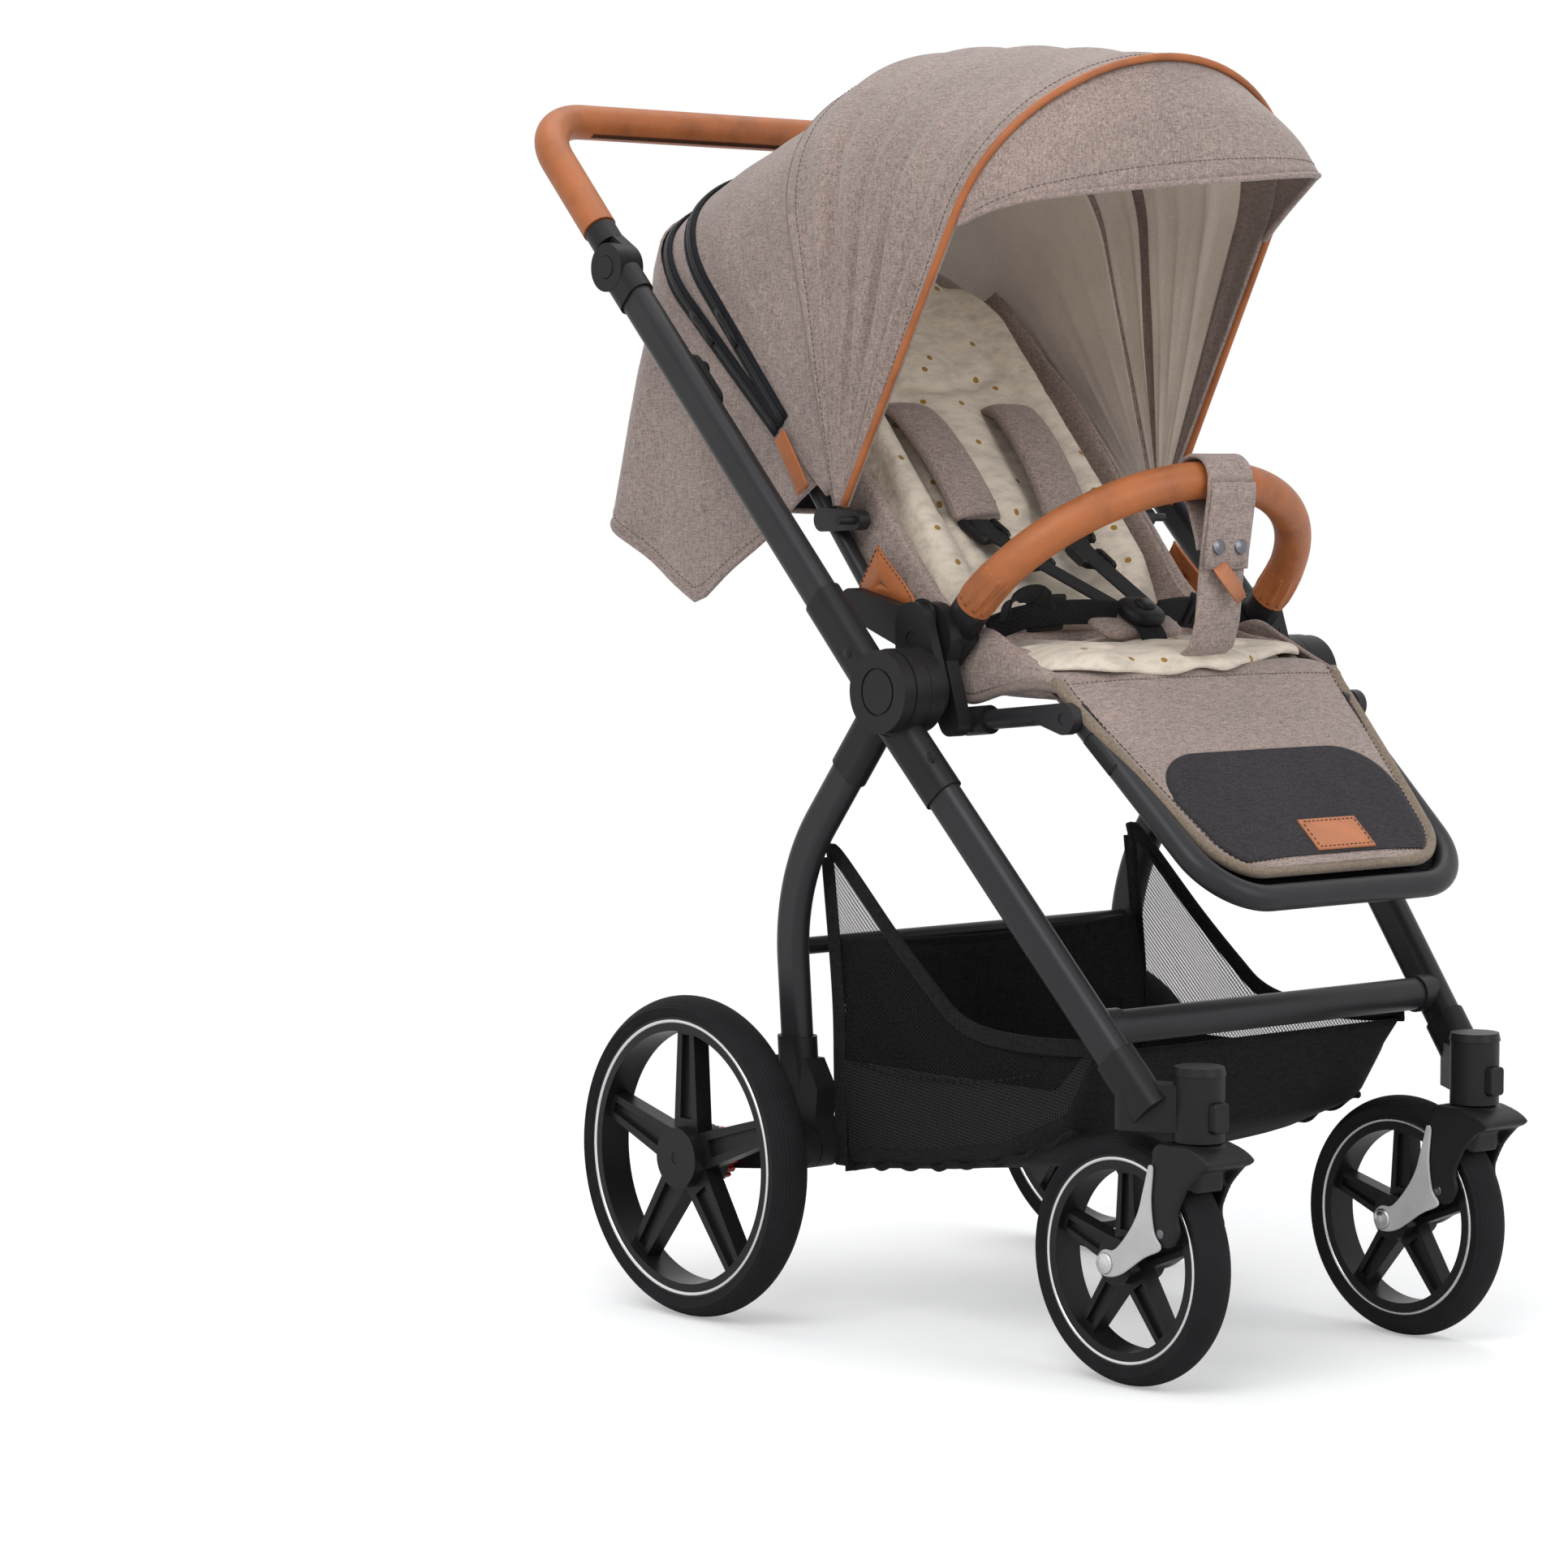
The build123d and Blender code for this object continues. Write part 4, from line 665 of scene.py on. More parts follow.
def pebble(name, centre, axis, size, paint, bulge=2.6, dip=0.0):
    """Rounded pad or button: a flattened superellipsoid; dip hollows its ends."""
    axis = unit(np.asarray(axis, float))
    wide = np.array((1.0, 0, 0))
    tall = np.cross(axis, wide)
    points = []
    for v in np.linspace(-pi / 2, pi / 2, PEBBLE_ROWS):
        ring, rise = power(cos(v), 2 / bulge), power(sin(v), 2 / bulge)
        for c, s in circle(1, PEBBLE_COLS):
            a = power(c, 2 / bulge) * ring
            b = power(s, 2 / bulge) * ring * (1 - dip * (1 - a * a))
            points.append(centre + wide * a * size[0] + tall * b * size[1] + axis * rise * size[2])
    faces = ring_faces(PEBBLE_ROWS, PEBBLE_COLS, caps=False)
    return mesh_object(name, points, faces, [paint], steps=(weld, outward))


LOCK_BARS, LOCK_BAR, LOCK_RAIL = (-15, -2, 11), (3.4, 3.6), (2.6, 17, 4.4)  # places along it, half sizes
LOCK_LEVELS = ((-1, 0.8), (-0.5, 1), (0.5, 1), (1, 0.72))  # height and size of a bar's rings
LOCK_RING = ((-1, -0.6), (-0.9, -1), (0.9, -1), (1, -0.6), (1, 0.6), (0.9, 1), (-0.9, 1), (-1, 0.6))


def ladder_lock(name, centre, way, across, width):
    """Webbing adjuster: three bars across two side rails, made as one mesh."""
    way = unit(np.asarray(way, float))
    across = np.asarray(across, float)
    across = unit(across - way * (across @ way))
    up = np.cross(across, way)
    bars = [((0, step, 2.6), (width / 2, *LOCK_BAR)) for step in LOCK_BARS]
    bars += [((side * (width / 2 - 1.5), LOCK_BARS[1], 1.4), LOCK_RAIL) for side in (-1, 1)]
    points, faces = [], []
    for (a, b, c), (half_a, half_b, half_c) in bars:
        faces += ring_faces(len(LOCK_LEVELS), len(LOCK_RING), len(points))
        for level, size in LOCK_LEVELS:
            middle = centre + across * a + way * b + up * (c + level * half_c)
            points += [middle + across * s * size * half_a + way * t * size * half_b for s, t in LOCK_RING]
    return mesh_object(name, points, faces, [BLACK], smooth=False)


def soften(obj):
    made = obj.modifiers.new("soft", "SUBSURF")
    made.levels = made.render_levels = 1


def coords(data):
    flat = np.zeros(len(data.vertices) * 3)
    data.vertices.foreach_get("co", flat)
    return flat.reshape(-1, 3)


PUFF_STEPS, PUFF_QUALITY = 20, 4
PUFF_PRESSURE = 4.0
PUFF_STIFFNESS = 12
PUFF_BENDING = 0.6
CLOTH_ROUNDS, MOULD_ROUNDS = 3, 5  # of smoothing


def blow_up(obj, cap):
    """Blow up a closed cloth with the cloth solver; no point moves further than the cap."""
    start = coords(obj.data)
    solver = obj.modifiers.new("cloth", "CLOTH")
    settings = solver.settings
    settings.quality = PUFF_QUALITY
    settings.use_pressure = True
    settings.uniform_pressure_force = PUFF_PRESSURE
    settings.tension_stiffness = settings.compression_stiffness = PUFF_STIFFNESS
    settings.bending_stiffness = PUFF_BENDING
    settings.effector_weights.gravity = 0
    solver.point_cache.frame_start = 1
    solver.point_cache.frame_end = PUFF_STEPS
    for step in range(1, PUFF_STEPS + 1):
        scene.frame_set(step)
    grown = obj.evaluated_get(bpy.context.evaluated_depsgraph_get())
    moved = coords(grown.to_mesh()) - start
    grown.to_mesh_clear()
    obj.modifiers.remove(solver)
    scene.frame_set(1)
    length = np.linalg.norm(moved, axis=1, keepdims=True)
    moved *= np.minimum(1, cap * MM / np.maximum(length, TINY))
    obj.data.vertices.foreach_set("co", (start + moved).ravel())
    obj.data.update()


def puffed(node, name, paint, voxel, cap, trim):
    """Padded cloth from a CAD solid: remeshed, trimmed, smoothed and blown up."""
    obj = add_object(name, nodes[node].data.copy())
    voxel_remesh(obj, voxel, paint)
    obj.data.vertices.foreach_set("co", trim(coords(obj.data)).ravel())
    rework(obj.data, *[relax] * CLOTH_ROUNDS)
    blow_up(obj, cap)
    set_smooth(obj.data)
    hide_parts(node)
    return obj


def slab_points(outline, start, stop, chamfer):
    """Points and faces of a plate between two X positions, from a (Y, Z) outline with chamfered edges."""
    step = unit(np.roll(outline, -1, 0) - np.roll(outline, 1, 0))
    inward = np.stack([-step[:, 1], step[:, 0]], axis=1)
    area = np.sum(outline[:, 0] * np.roll(outline[:, 1], -1) - np.roll(outline[:, 0], -1) * outline[:, 1])
    inward = inward if area > 0 else -inward
    edge = chamfer if stop > start else -chamfer
    rings = ((start, chamfer), (start + edge, 0), (stop - edge, 0), (stop, chamfer))
    points = [(x, y, z) for x, inset in rings for y, z in outline + inward * inset]
    return points, ring_faces(len(rings), len(outline))


def moulded(name, node, place, normal, extra, paint, voxel):
    """Moulded form of a CAD node: cut off past a plane, joined with extra plates, its edges rounded."""
    def cut_and_join(work):
        weld(work)
        cut = bmesh.ops.bisect_plane(
            work, geom=work.verts[:] + work.edges[:] + work.faces[:], plane_co=Vector(place) * MM,
            plane_no=Vector(normal), clear_outer=True,
        )
        edges = [item for item in cut["geom_cut"] if isinstance(item, bmesh.types.BMEdge)]
        bmesh.ops.edgeloop_fill(work, edges=edges)
        for points, faces in extra:
            made = [work.verts.new(Vector(point) * MM) for point in points]
            for face in faces:
                work.faces.new([made[i] for i in face])

    obj = add_object(name, nodes[node].data.copy())
    rework(obj.data, cut_and_join, outward)
    voxel_remesh(obj, voxel, paint)
    rework(obj.data, *[relax] * MOULD_ROUNDS)
    set_smooth(obj.data)
    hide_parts(node)
    return obj


def fit(body, slot, *pieces):
    """Attach pieces to the body that they ride on; the slot argument is not used."""
    for piece in pieces:
        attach(piece, body)


# Places on the stroller
BACK_TILT = radians(40)
BACK_FOOT = np.array((0, -70, 610))
BACK_RISE = np.array((0, sin(BACK_TILT), cos(BACK_TILT)))
BACK_FACE = np.array((0, -cos(BACK_TILT), sin(BACK_TILT)))
LEG_TILT = radians(42)
KNEE = np.array((0, -249, 574))
LEG_DOWN = np.array((0, -cos(LEG_TILT), -sin(LEG_TILT)))
LEG_FACE = np.array((0, -sin(LEG_TILT), cos(LEG_TILT)))
BUMPER_LEAN = radians(44.4)
BUMPER_FOOT = np.array((0, -133, 666))
BUMPER_REACH = np.array((0, -sin(BUMPER_LEAN), cos(BUMPER_LEAN)))
BUMPER_X = 188


def back_point(x, up, out):
    """Point on the backrest: height up its face and distance out of it."""
    return BACK_FOOT + (x, 0, 0) + BACK_RISE * up + BACK_FACE * out


def leg_rest_point(x, down, out):
    """Point on the leg rest: distance down from the knee hinge and out of its upper face."""
    return KNEE + (x, 0, 0) + LEG_DOWN * down + LEG_FACE * out


def bumper_point(x, reach):
    """Point in the bumper bar's plane."""
    return BUMPER_FOOT + (x, 0, 0) + BUMPER_REACH * reach


# Trims of the padded pieces, in metres
PAN_FRONT = -0.19
WING_X, WING_Y, WING_OUT = 0.148, -0.14, 0.03
WING_DROP, HEAD_DROP, HEAD_INSET = 0.62, 0.33, 0.018  # shares taken off the wings, more beside the head
HEAD_UP, HEAD_SPAN = 0.3, 0.16
WING_LOW, LOW_KEEP = 0.622, 0.35
LINER_FRONT, FRONT_KEEP = -0.196, 0.1
ROLL_X, ROLL_WIDTH, ROLL_HEIGHT = 0.118, 0.02, 13  # heights and depths in millimetres
GROOVE_X, GROOVE_WIDTH, GROOVE_DEPTH = 0.088, 0.007, 9
CROSS_LEVELS, CROSS_SLOPE, CROSS_WIDTH, CROSS_DEPTH, CROSS_END = (0.15, 0.315), 0.25, 0.008, 8, 0.086
LINER_OUT, LINER_UP = 0.008, 0.05  # where the relief begins


def bell(distance, width):
    return np.exp(-(distance / width) ** 2)


def pan_trim(points):
    """Slope the front of the pan under the leg-rest pad, and lower the soft side wings."""
    moved = points.copy()
    wide = np.abs(points[:, 0]) > WING_X
    front = points[:, 1] < PAN_FRONT
    moved[front] -= np.maximum((points[front] - KNEE * MM) @ LEG_FACE - MM, 0)[:, None] * LEG_FACE
    start = moved - BACK_FOOT * MM
    proud, up = start @ BACK_FACE, start @ BACK_RISE
    wing = wide & (points[:, 1] > WING_Y) & (proud > WING_OUT)
    head = np.clip((up - HEAD_UP) / HEAD_SPAN, 0, 1)[wing]
    drop = (WING_DROP + HEAD_DROP * head) * (proud[wing] - WING_OUT + HEAD_INSET * head)
    moved[wing] -= drop[:, None] * BACK_FACE
    low = wide & (points[:, 1] <= WING_Y) & (moved[:, 2] > WING_LOW)
    moved[low, 2] = WING_LOW + LOW_KEEP * (moved[low, 2] - WING_LOW)
    return moved


def liner_trim(points):
    """Keep the liner behind the draped front edge; side bolsters and sewn grooves on the back."""
    moved = points.copy()
    front = points[:, 1] < LINER_FRONT
    moved[front, 1] = LINER_FRONT + (points[front, 1] - LINER_FRONT) * FRONT_KEEP
    start = points - BACK_FOOT * MM
    up, out, wide = start @ BACK_RISE, start @ BACK_FACE, np.abs(points[:, 0])
    top = np.clip((out - LINER_OUT) / LINER_OUT, 0, 1) * np.clip((up - LINER_UP) / LINER_UP, 0, 1)
    height = ROLL_HEIGHT * bell(wide - ROLL_X, ROLL_WIDTH)
    height -= GROOVE_DEPTH * bell(wide - GROOVE_X, GROOVE_WIDTH)
    for level in CROSS_LEVELS:
        height -= CROSS_DEPTH * bell(up - level - CROSS_SLOPE * wide, CROSS_WIDTH) * (wide < CROSS_END)
    moved += (top * height * MM)[:, None] * BACK_FACE
    return moved


# Canopy: hoops that lean about a pivot on each side of the seat
PIVOT = (24, 744)
TURN = radians(50)  # where a hoop's corner arc meets its crown arc
COLUMNS = 97
HOOP_CORNER, HOOP_FLARE, HOOP_FOOT = 150, 8.5, 34
ARCH, SEAM, FRONT_ROWS, FRONT_FOOT, FRONT_FOLDS = -28.5, 16.5, 60, 14, 4.6  # edges in degrees
REAR_START, REAR_END, REAR_ROWS, REAR_FOLDS = 13, 50, 46, 1.1
FACING_END, SLEEVE = -21.8, (1.2, 4.4)  # degrees, on the inside
CANOPY_THICK, LINING_FOLLOW = 8, 0.6  # the lining follows inward folds by this share
VISOR_THICK, VISOR_ROWS, VISOR_BULGE = 3.5, 14, (0, -9, 7)
FRONT_TABLE = (  # lean, half width and height
    (ARCH, 200.5, 470), (-22, 200.5, 456), (-16, 200.5, 445.5), (-10, 201, 440), (-4, 201, 437.5),
    (2, 201.5, 439), (8, 201.5, 443.5), (12, 201.5, 441.5), (SEAM, 201.5, 437),
)
REAR_TABLE = (
    (REAR_START, 195, 427), (20, 195, 428), (26, 195, 431), (32, 195, 438), (38, 194.5, 449),
    (44, 193.5, 463), (REAR_END, 192, 477),
)
VISOR_HEM = (  # X, lean and height of the brim's edge, left to right
    (198, -29, 298), (190, -32, 335), (175, -36, 386), (152, -38.7, 404), (100, -40.3, 409), (10, -41, 402),
    (-68, -39.6, 384), (-130, -38, 366), (-165, -36, 350), (-188, -32.5, 324), (-198, -29, 298),
)
UP, ACROSS = (0, 0, 1), (1, 0, 0)


def lean(x, angle, height):
    """Points at heights above the pivot, in a plane that leans back by an angle."""
    tilt = radians(angle)
    return np.stack([x, PIVOT[0] + height * sin(tilt), PIVOT[1] + height * cos(tilt)], axis=-1)


def hoop(angle, half, height, foot=HOOP_FOOT):
    """Points of a canopy hoop from the left foot over the crown to the right foot."""
    rise = (1 - sin(TURN)) / cos(TURN)
    spring = height - HOOP_CORNER * (1 - rise) - half * rise
    middle = half - HOOP_CORNER
    crown = (middle + HOOP_CORNER * cos(TURN)) / cos(TURN)
    line = [] if foot is None else [(half + HOOP_FLARE, foot)]
    line += [(middle + HOOP_CORNER * cos(t), spring + HOOP_CORNER * sin(t)) for t in np.linspace(0, TURN, 24)]
    line += [(crown * cos(t), height - crown + crown * sin(t)) for t in np.linspace(TURN, pi / 2, 24)[1:]]
    line += [(-x, s) for x, s in reversed(line[:-1])]
    flat = resample(line, COLUMNS)
    return lean(flat[:, 0], angle, flat[:, 1])


def table_hoop(table, angle, foot=HOOP_FOOT):
    """Hoop between the tabled ones."""
    sizes = smooth_line(table, 200)
    half, height = (np.interp(angle, sizes[:, 0], sizes[:, k]) for k in (1, 2))
    return hoop(angle, half, height, foot)


def wrinkle(grid, angles, strength):
    """Soft folds along the hoops, strongest on the side panels, none at the sewn edges."""
    u = np.linspace(-1, 1, grid.shape[1])[None, :]
    a = angles[:, None]
    span = (a - a.min()) / (a.max() - a.min())
    edge = np.clip(np.minimum(span, 1 - span) * 6, 0, 1)
    side = bell(np.abs(u) - 0.62, 0.25)
    foot = np.clip((1 - np.abs(u)) * 9, 0, 1)
    wave = np.sin(a * 0.86 + 2.1 * u ** 2 + 1.3 * np.sin(3.1 * u)) + 0.6 * np.sin(a * 1.55 - 4.2 * u + 0.6)
    wave += 0.5 * np.sin(a * 0.5 + 9.0 * u * np.abs(u) + 1.1)
    crown = 0.35 * np.sin(a * 0.7 + 5 * u) * (1 - side)
    return strength * edge * foot * (side * wave + crown)


def canopy_sheet(name, table, first, last, rows, strength, inner_slot, foot):
    angles = np.linspace(first, last, rows)
    grid = np.array([table_hoop(table, angle, foot) for angle in angles])
    normal = facing(grid, UP)
    fold = wrinkle(grid, angles, strength)[..., None]
    outer = grid + normal * fold
    inner = grid + normal * (LINING_FOLLOW * np.minimum(fold, 0) - CANOPY_THICK)
    sheet = double_sheet(name, outer, inner, [TAUPE, LINING, TAUPE_DARK], inner_slot=inner_slot)
    return sheet, outer


def front_lining(row, col):
    """Facing band behind the arch, a hoop sleeve further in, lining elsewhere."""
    angle = ARCH + (SEAM - ARCH) * (row + 0.5) / (FRONT_ROWS - 1)
    return 2 if angle < FACING_END or SLEEVE[0] < angle < SLEEVE[1] else 1


front_canopy, front_grid = canopy_sheet(
    "canopy_front_cloth", FRONT_TABLE, ARCH, SEAM, FRONT_ROWS, FRONT_FOLDS, front_lining, FRONT_FOOT
)
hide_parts("canopy_front", "canopy_middle")
rear_canopy, _ = canopy_sheet(
    "canopy_rear_cloth", REAR_TABLE, REAR_START, REAR_END, REAR_ROWS, REAR_FOLDS, second_paint, HOOP_FOOT
)
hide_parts("canopy_rear")
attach(rear_canopy, "seat")

visor_root = hoop(ARCH, 200.5, 469, foot=None)
visor_edge = smooth_line([lean(*place) for place in VISOR_HEM], COLUMNS)
visor_mid = (visor_root + visor_edge) / 2
visor_mid += np.sin(np.linspace(0, pi, COLUMNS))[:, None] * np.array(VISOR_BULGE)
visor_lines = zip(visor_root, visor_mid, visor_edge)
visor_grid = np.stack([smooth_line(line, VISOR_ROWS) for line in visor_lines], axis=1)
visor, visor_normal = cloth("visor", visor_grid, UP, VISOR_THICK, TAUPE, TAUPE_DARK)
visor_hem = sweep("visor_hem", visor_grid[-1] - visor_normal[-1] * 1.7, circle(3.0, 10), TAUPE)
visor_sewing = sewn_row("visor_sewing", visor_grid[:, 4:-4], visor_normal[:, 4:-4], 11)
piping = sweep("arch_piping", front_grid[0] + np.array((0, -1.5, 1.0)), circle(3.6), LEATHER)
front_out = facing(front_grid, UP)
arch_sewing = sewn_row("arch_sewing", front_grid, front_out, 3)
seam = sweep("canopy_seam", front_grid[-1] - front_out[-1] * 0.6, circle(1.5, 8), TAUPE_DARK)
seam_sewing = sewn_row("canopy_seam_sewing", front_grid, front_out, -5)
for piece in (front_canopy, visor, visor_hem, visor_sewing, piping, arch_sewing, seam, seam_sewing):
    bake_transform(piece)

# Zips along hoops of the rear canopy, and leather tabs at its feet
ZIPS = (("upper", 43.5), ("lower", 49.2))
PULLER_Z, PULLER_LIFT = 930, 5.5
TAPE_ENDS = slice(8, -8)  # tapes stop short of a hoop's feet
PULLER = ((-9, 0.7), (0, 1.1), (10, 0.6), (24, 0.9), (38, 0.8))  # distance down and size
CANOPY_TAB = ((204, 112, 822), (206.5, 98, 806), (208, 84, 788), (208.5, 73, 771))


def hoop_tape(name, angle, width, lift, paint, slot):
    """Flat tape sewn along a hoop of the rear canopy."""
    line = table_hoop(REAR_TABLE, angle)[TAPE_ENDS]
    wide = table_hoop(REAR_TABLE, angle + 1)[TAPE_ENDS] - line
    out = unit(np.cross(np.gradient(line, axis=0), wide))
    if out[len(out) // 2, 2] < 0:
        out = -out
    fit("seat", slot, sweep(name, line + out * lift, band(width, 2.4), paint, across=wide))
    return line, out


for label, angle in ZIPS:
    zip_line, zip_out = hoop_tape("zip_tape_" + label, angle, 17, 1.6, ZIP, "webbing")
    hoop_tape("zip_coil_" + label, angle, 5, 3.2, BLACK, "black_plastic")
    for side in (1, -1):
        near = np.argmin(np.abs(zip_line[:, 2] - PULLER_Z) + 1000 * (zip_line[:, 0] * side < 0))
        at, out = zip_line[near], zip_out[near]
        down = unit(zip_line[near - side * 4] - zip_line[near + side * 4])
        down = down if down[2] < 0 else -down
        steps, sizes = zip(*PULLER)
        path = [at + out * PULLER_LIFT + down * step for step in steps]
        name, wide = f"zip_puller_{label}_{side + 1}", np.cross(down, out)
        fit("seat", "black_plastic", sweep(name, path, band(8, 3), BLACK, wide, scale=sizes))
for label, side in SIDES:
    tab = strap("canopy_tab_" + label, on_side(CANOPY_TAB, side), 20, 17, 2.6, LEATHER, (0, 0.8, -0.6))
    fit("seat", "leather", tab)

# Back flap: cloth wrapped round the back of the seat
FLAP_SECTIONS = (  # Z, back and corner radius
    (640, 412, 45), (742, 408, 45), (836, 394, 60), (883, 390, 75), (930, 386, 95), (984, 394, 120),
    (1056, 386, 150),
)
FLAP_EDGE = 1 / tan(radians(50.3))
FLAP_HEM = ((803, -0.657, 40), (665, 0.535, 250))  # Z, slope and Y of two lines; the higher one counts
FLAP_HALF, FLAP_FRONT, FLAP_THICK, FLAP_ROWS = 190, 72, 2.5, 44
FLAP_SIDE, FLAP_CORNER = 0.5, 0.66  # shares of half the width where the side and the corner end


def flap_point(run, z):
    """Point of the flap's outer face: run goes from 0 at the front of the right side to 1 at the left."""
    levels, backs, corners = np.array(FLAP_SECTIONS, float).T
    back, corner = np.interp(z, levels, backs), np.interp(z, levels, corners)
    half = min(run, 1 - run) * 2
    side = -1 if run < 0.5 else 1
    if half < FLAP_SIDE:
        return np.array((side * FLAP_HALF, FLAP_FRONT + (back - corner - FLAP_FRONT) * half / FLAP_SIDE, z))
    middle = FLAP_HALF - corner
    if half < FLAP_CORNER:
        turn = (half - FLAP_SIDE) / (FLAP_CORNER - FLAP_SIDE) * pi / 2
        return np.array((side * (middle + corner * cos(turn)), back - corner + corner * sin(turn), z))
    return np.array((side * middle * (1 - (half - FLAP_CORNER) / (1 - FLAP_CORNER)), back, z))


def flap_column(run):
    """One column of the flap from the canopy's rear edge down to the hem."""
    high, low = 1046.0, 668.0
    for _ in range(12):
        high = PIVOT[1] + (flap_point(run, high)[1] - PIVOT[0]) * FLAP_EDGE
        y = flap_point(run, low)[1]
        low = max(z + slope * (y - start) for z, slope, start in FLAP_HEM)
    return [flap_point(run, high + (low - high) * t) for t in np.linspace(0, 1, FLAP_ROWS)]


flap_runs = [np.linspace(0, 0.25, 22)[:-1], np.linspace(0.25, 0.33, 12)[:-1], np.linspace(0.33, 0.5, 16)]
flap_runs = np.concatenate(flap_runs)
flap_runs = np.concatenate([flap_runs, 1 - flap_runs[-2::-1]])
flap_grid = np.stack([flap_column(run) for run in flap_runs], axis=1)
flap_normal = facing(flap_grid, (0, 1, 0))
drop = np.linspace(0, 1, FLAP_ROWS)[:, None]
folds = drop * (2.4 * np.sin(46 * flap_runs + 1.5 * drop) + 1.6 * np.sin(83 * flap_runs - 2 * drop + 1))
flap_grid = flap_grid + flap_normal * folds[..., None]
flap_inner = flap_grid - flap_normal * FLAP_THICK
flap = double_sheet("back_flap_cloth", flap_grid, flap_inner, [TAUPE, CLOTH], inner_slot=second_paint)
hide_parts("back_flap")
flap_hem = sweep("back_flap_hem", flap_grid[-1] - flap_normal[-1] * 1.2, circle(3.2, 10), TAUPE)
flap_sewing = sewn_row("back_flap_sewing", flap_grid, flap_normal, 41)
fit("seat", "taupe_cloth", flap, flap_hem, flap_sewing)

# Seat: padded shell and liner
shell = puffed("seat_shell", "seat_shell_cloth", TAUPE, 6, 5, pan_trim)
liner = puffed("seat_liner", "seat_liner_cloth", CREAM, 5, 6, liner_trim)
fit("seat", "taupe_cloth", shell)
fit("seat", "cream_cloth", liner)
for piece in (shell, liner):
    soften(piece)

# Side panels of the pan with bound lower hems, and leather corners; (Y, Z)
PANEL_TOP = ((-96, 640), (-137, 650), (-170, 637), (-205, 621), (-236, 608))
PANEL_LOW = ((-100, 590), (-125, 586), (-165, 596), (-205, 601), (-237, 599))
CORNER = ((-10, 722), (17, 674), (-20, 669), (-62, 671), (-10, 722))
CORNER_SHARES = (0.02, 0.35, 0.7, 0.92, 1.0)
PANEL_X, CORNER_X = 172, 191
for label, side in SIDES:
    top, low = smooth_line(PANEL_TOP, 30), smooth_line(PANEL_LOW, 30)
    panel_grid = np.array([
        upright(side * (PANEL_X + 6 * sin(pi * share) + 4 * share), top + (low - top) * share)
        for share in np.linspace(0, 1, 12)
    ])
    panel, out = cloth("pan_side_" + label, panel_grid, (side, 0, 0), 3.5, TAUPE)
    hem = sweep("pan_side_hem_" + label, panel_grid[-1], circle(4.4, 10), TAUPE_DARK)
    sewing = sewn_row("pan_side_sewing_" + label, panel_grid, out, 10)
    edge = smooth_line(CORNER, 60)
    centre = edge.mean(axis=0)
    leaf = np.array([
        upright(side * (CORNER_X + 5 * (1 - share ** 2)), centre + (edge - centre) * share)
        for share in CORNER_SHARES
    ])
    corner, leaf_out = cloth("leather_corner_" + label, leaf, (side, 0, 0), 2.5, LEATHER)
    rim = sewn_row("leather_corner_sewing_" + label, leaf, leaf_out, 3, STITCH, 0.4)
    fit("seat", "taupe_cloth", panel, hem, sewing)
    fit("seat", "leather", corner, rim)

# Leg-rest pad: runs on from the seat pan over the knee; w is the distance down from the hinge
PAD_CORNER, PAD_END, PAD_CROWN = 45, 200, 4.5
PAD_HALF = ((-140, 180), (-80, 178), (-40, 176), (0, 171), (60, 161), (126, 149), (155, 143), (200, 138))
PAN_LINE = ((-110, 615), (-150, 615), (-190, 613), (-212, 611), (-227, 606.5))  # Y, Z over the pan
PAD_STEPS, PAD_OVER = (-18, 10, 60, 120, 170, 215), 8
pad_line = smooth_line([*PAN_LINE, *[leg_rest_point(0, w, PAD_OVER)[1:] for w in PAD_STEPS]], 400)
pad_run = run_of(pad_line)
hinge_at = np.argmin(np.linalg.norm(pad_line - leg_rest_point(0, PAD_STEPS[1], PAD_OVER)[1:], axis=1))
pad_w = pad_run - pad_run[hinge_at] + PAD_STEPS[1]


def pad_half(w):
    half = np.interp(w, *np.array(PAD_HALF, float).T)
    past = np.clip(w - (PAD_END - PAD_CORNER), 0, PAD_CORNER)
    return half - PAD_CORNER + np.sqrt(np.maximum(PAD_CORNER ** 2 - past ** 2, 4))


def pad_point(x, w, lift):
    """Point on the leg-rest pad's crowned upper face, raised by lift."""
    y, z = at_run(pad_line, pad_w, w)
    ahead = unit(at_run(pad_line, pad_w, w + 3) - at_run(pad_line, pad_w, w - 3))
    rise = lift + PAD_CROWN * np.clip(1 - (np.abs(x) / pad_half(w)) ** 4, 0, 1)
    return np.array((x, y + ahead[1] * rise, z - ahead[0] * rise))


def pad_sheet(name, rows, across, high, low, paint):
    """Sheet over the pad between two lifts; across gives a row's X positions."""
    grids = [np.array([[pad_point(x, w, lift) for x in across(w)] for w in rows]) for lift in (high, low)]
    return double_sheet(name, *grids, [paint])


# Draped front of the liner: a wavy edge over the pan
DRAPE_EDGE = (  # X and distance from the hinge
    (-176, -46), (-150, -40), (-118, -35), (-83, -36), (-40, -29), (-2, -36), (29, -33), (91, -46),
    (132, -57), (163, -68), (176, -82),
)
DRAPE_START = -135
drape_x = np.linspace(-174, 174, 81)
drape_w = np.interp(drape_x, *smooth_line(DRAPE_EDGE, 120).T) + 1.5 * np.sin(0.05 * drape_x + 0.6)


def rounded(past):
    """Height of a rounded edge at a share of the way past its start."""
    return sqrt(max(0.02, 1 - max(0, past) ** 2))


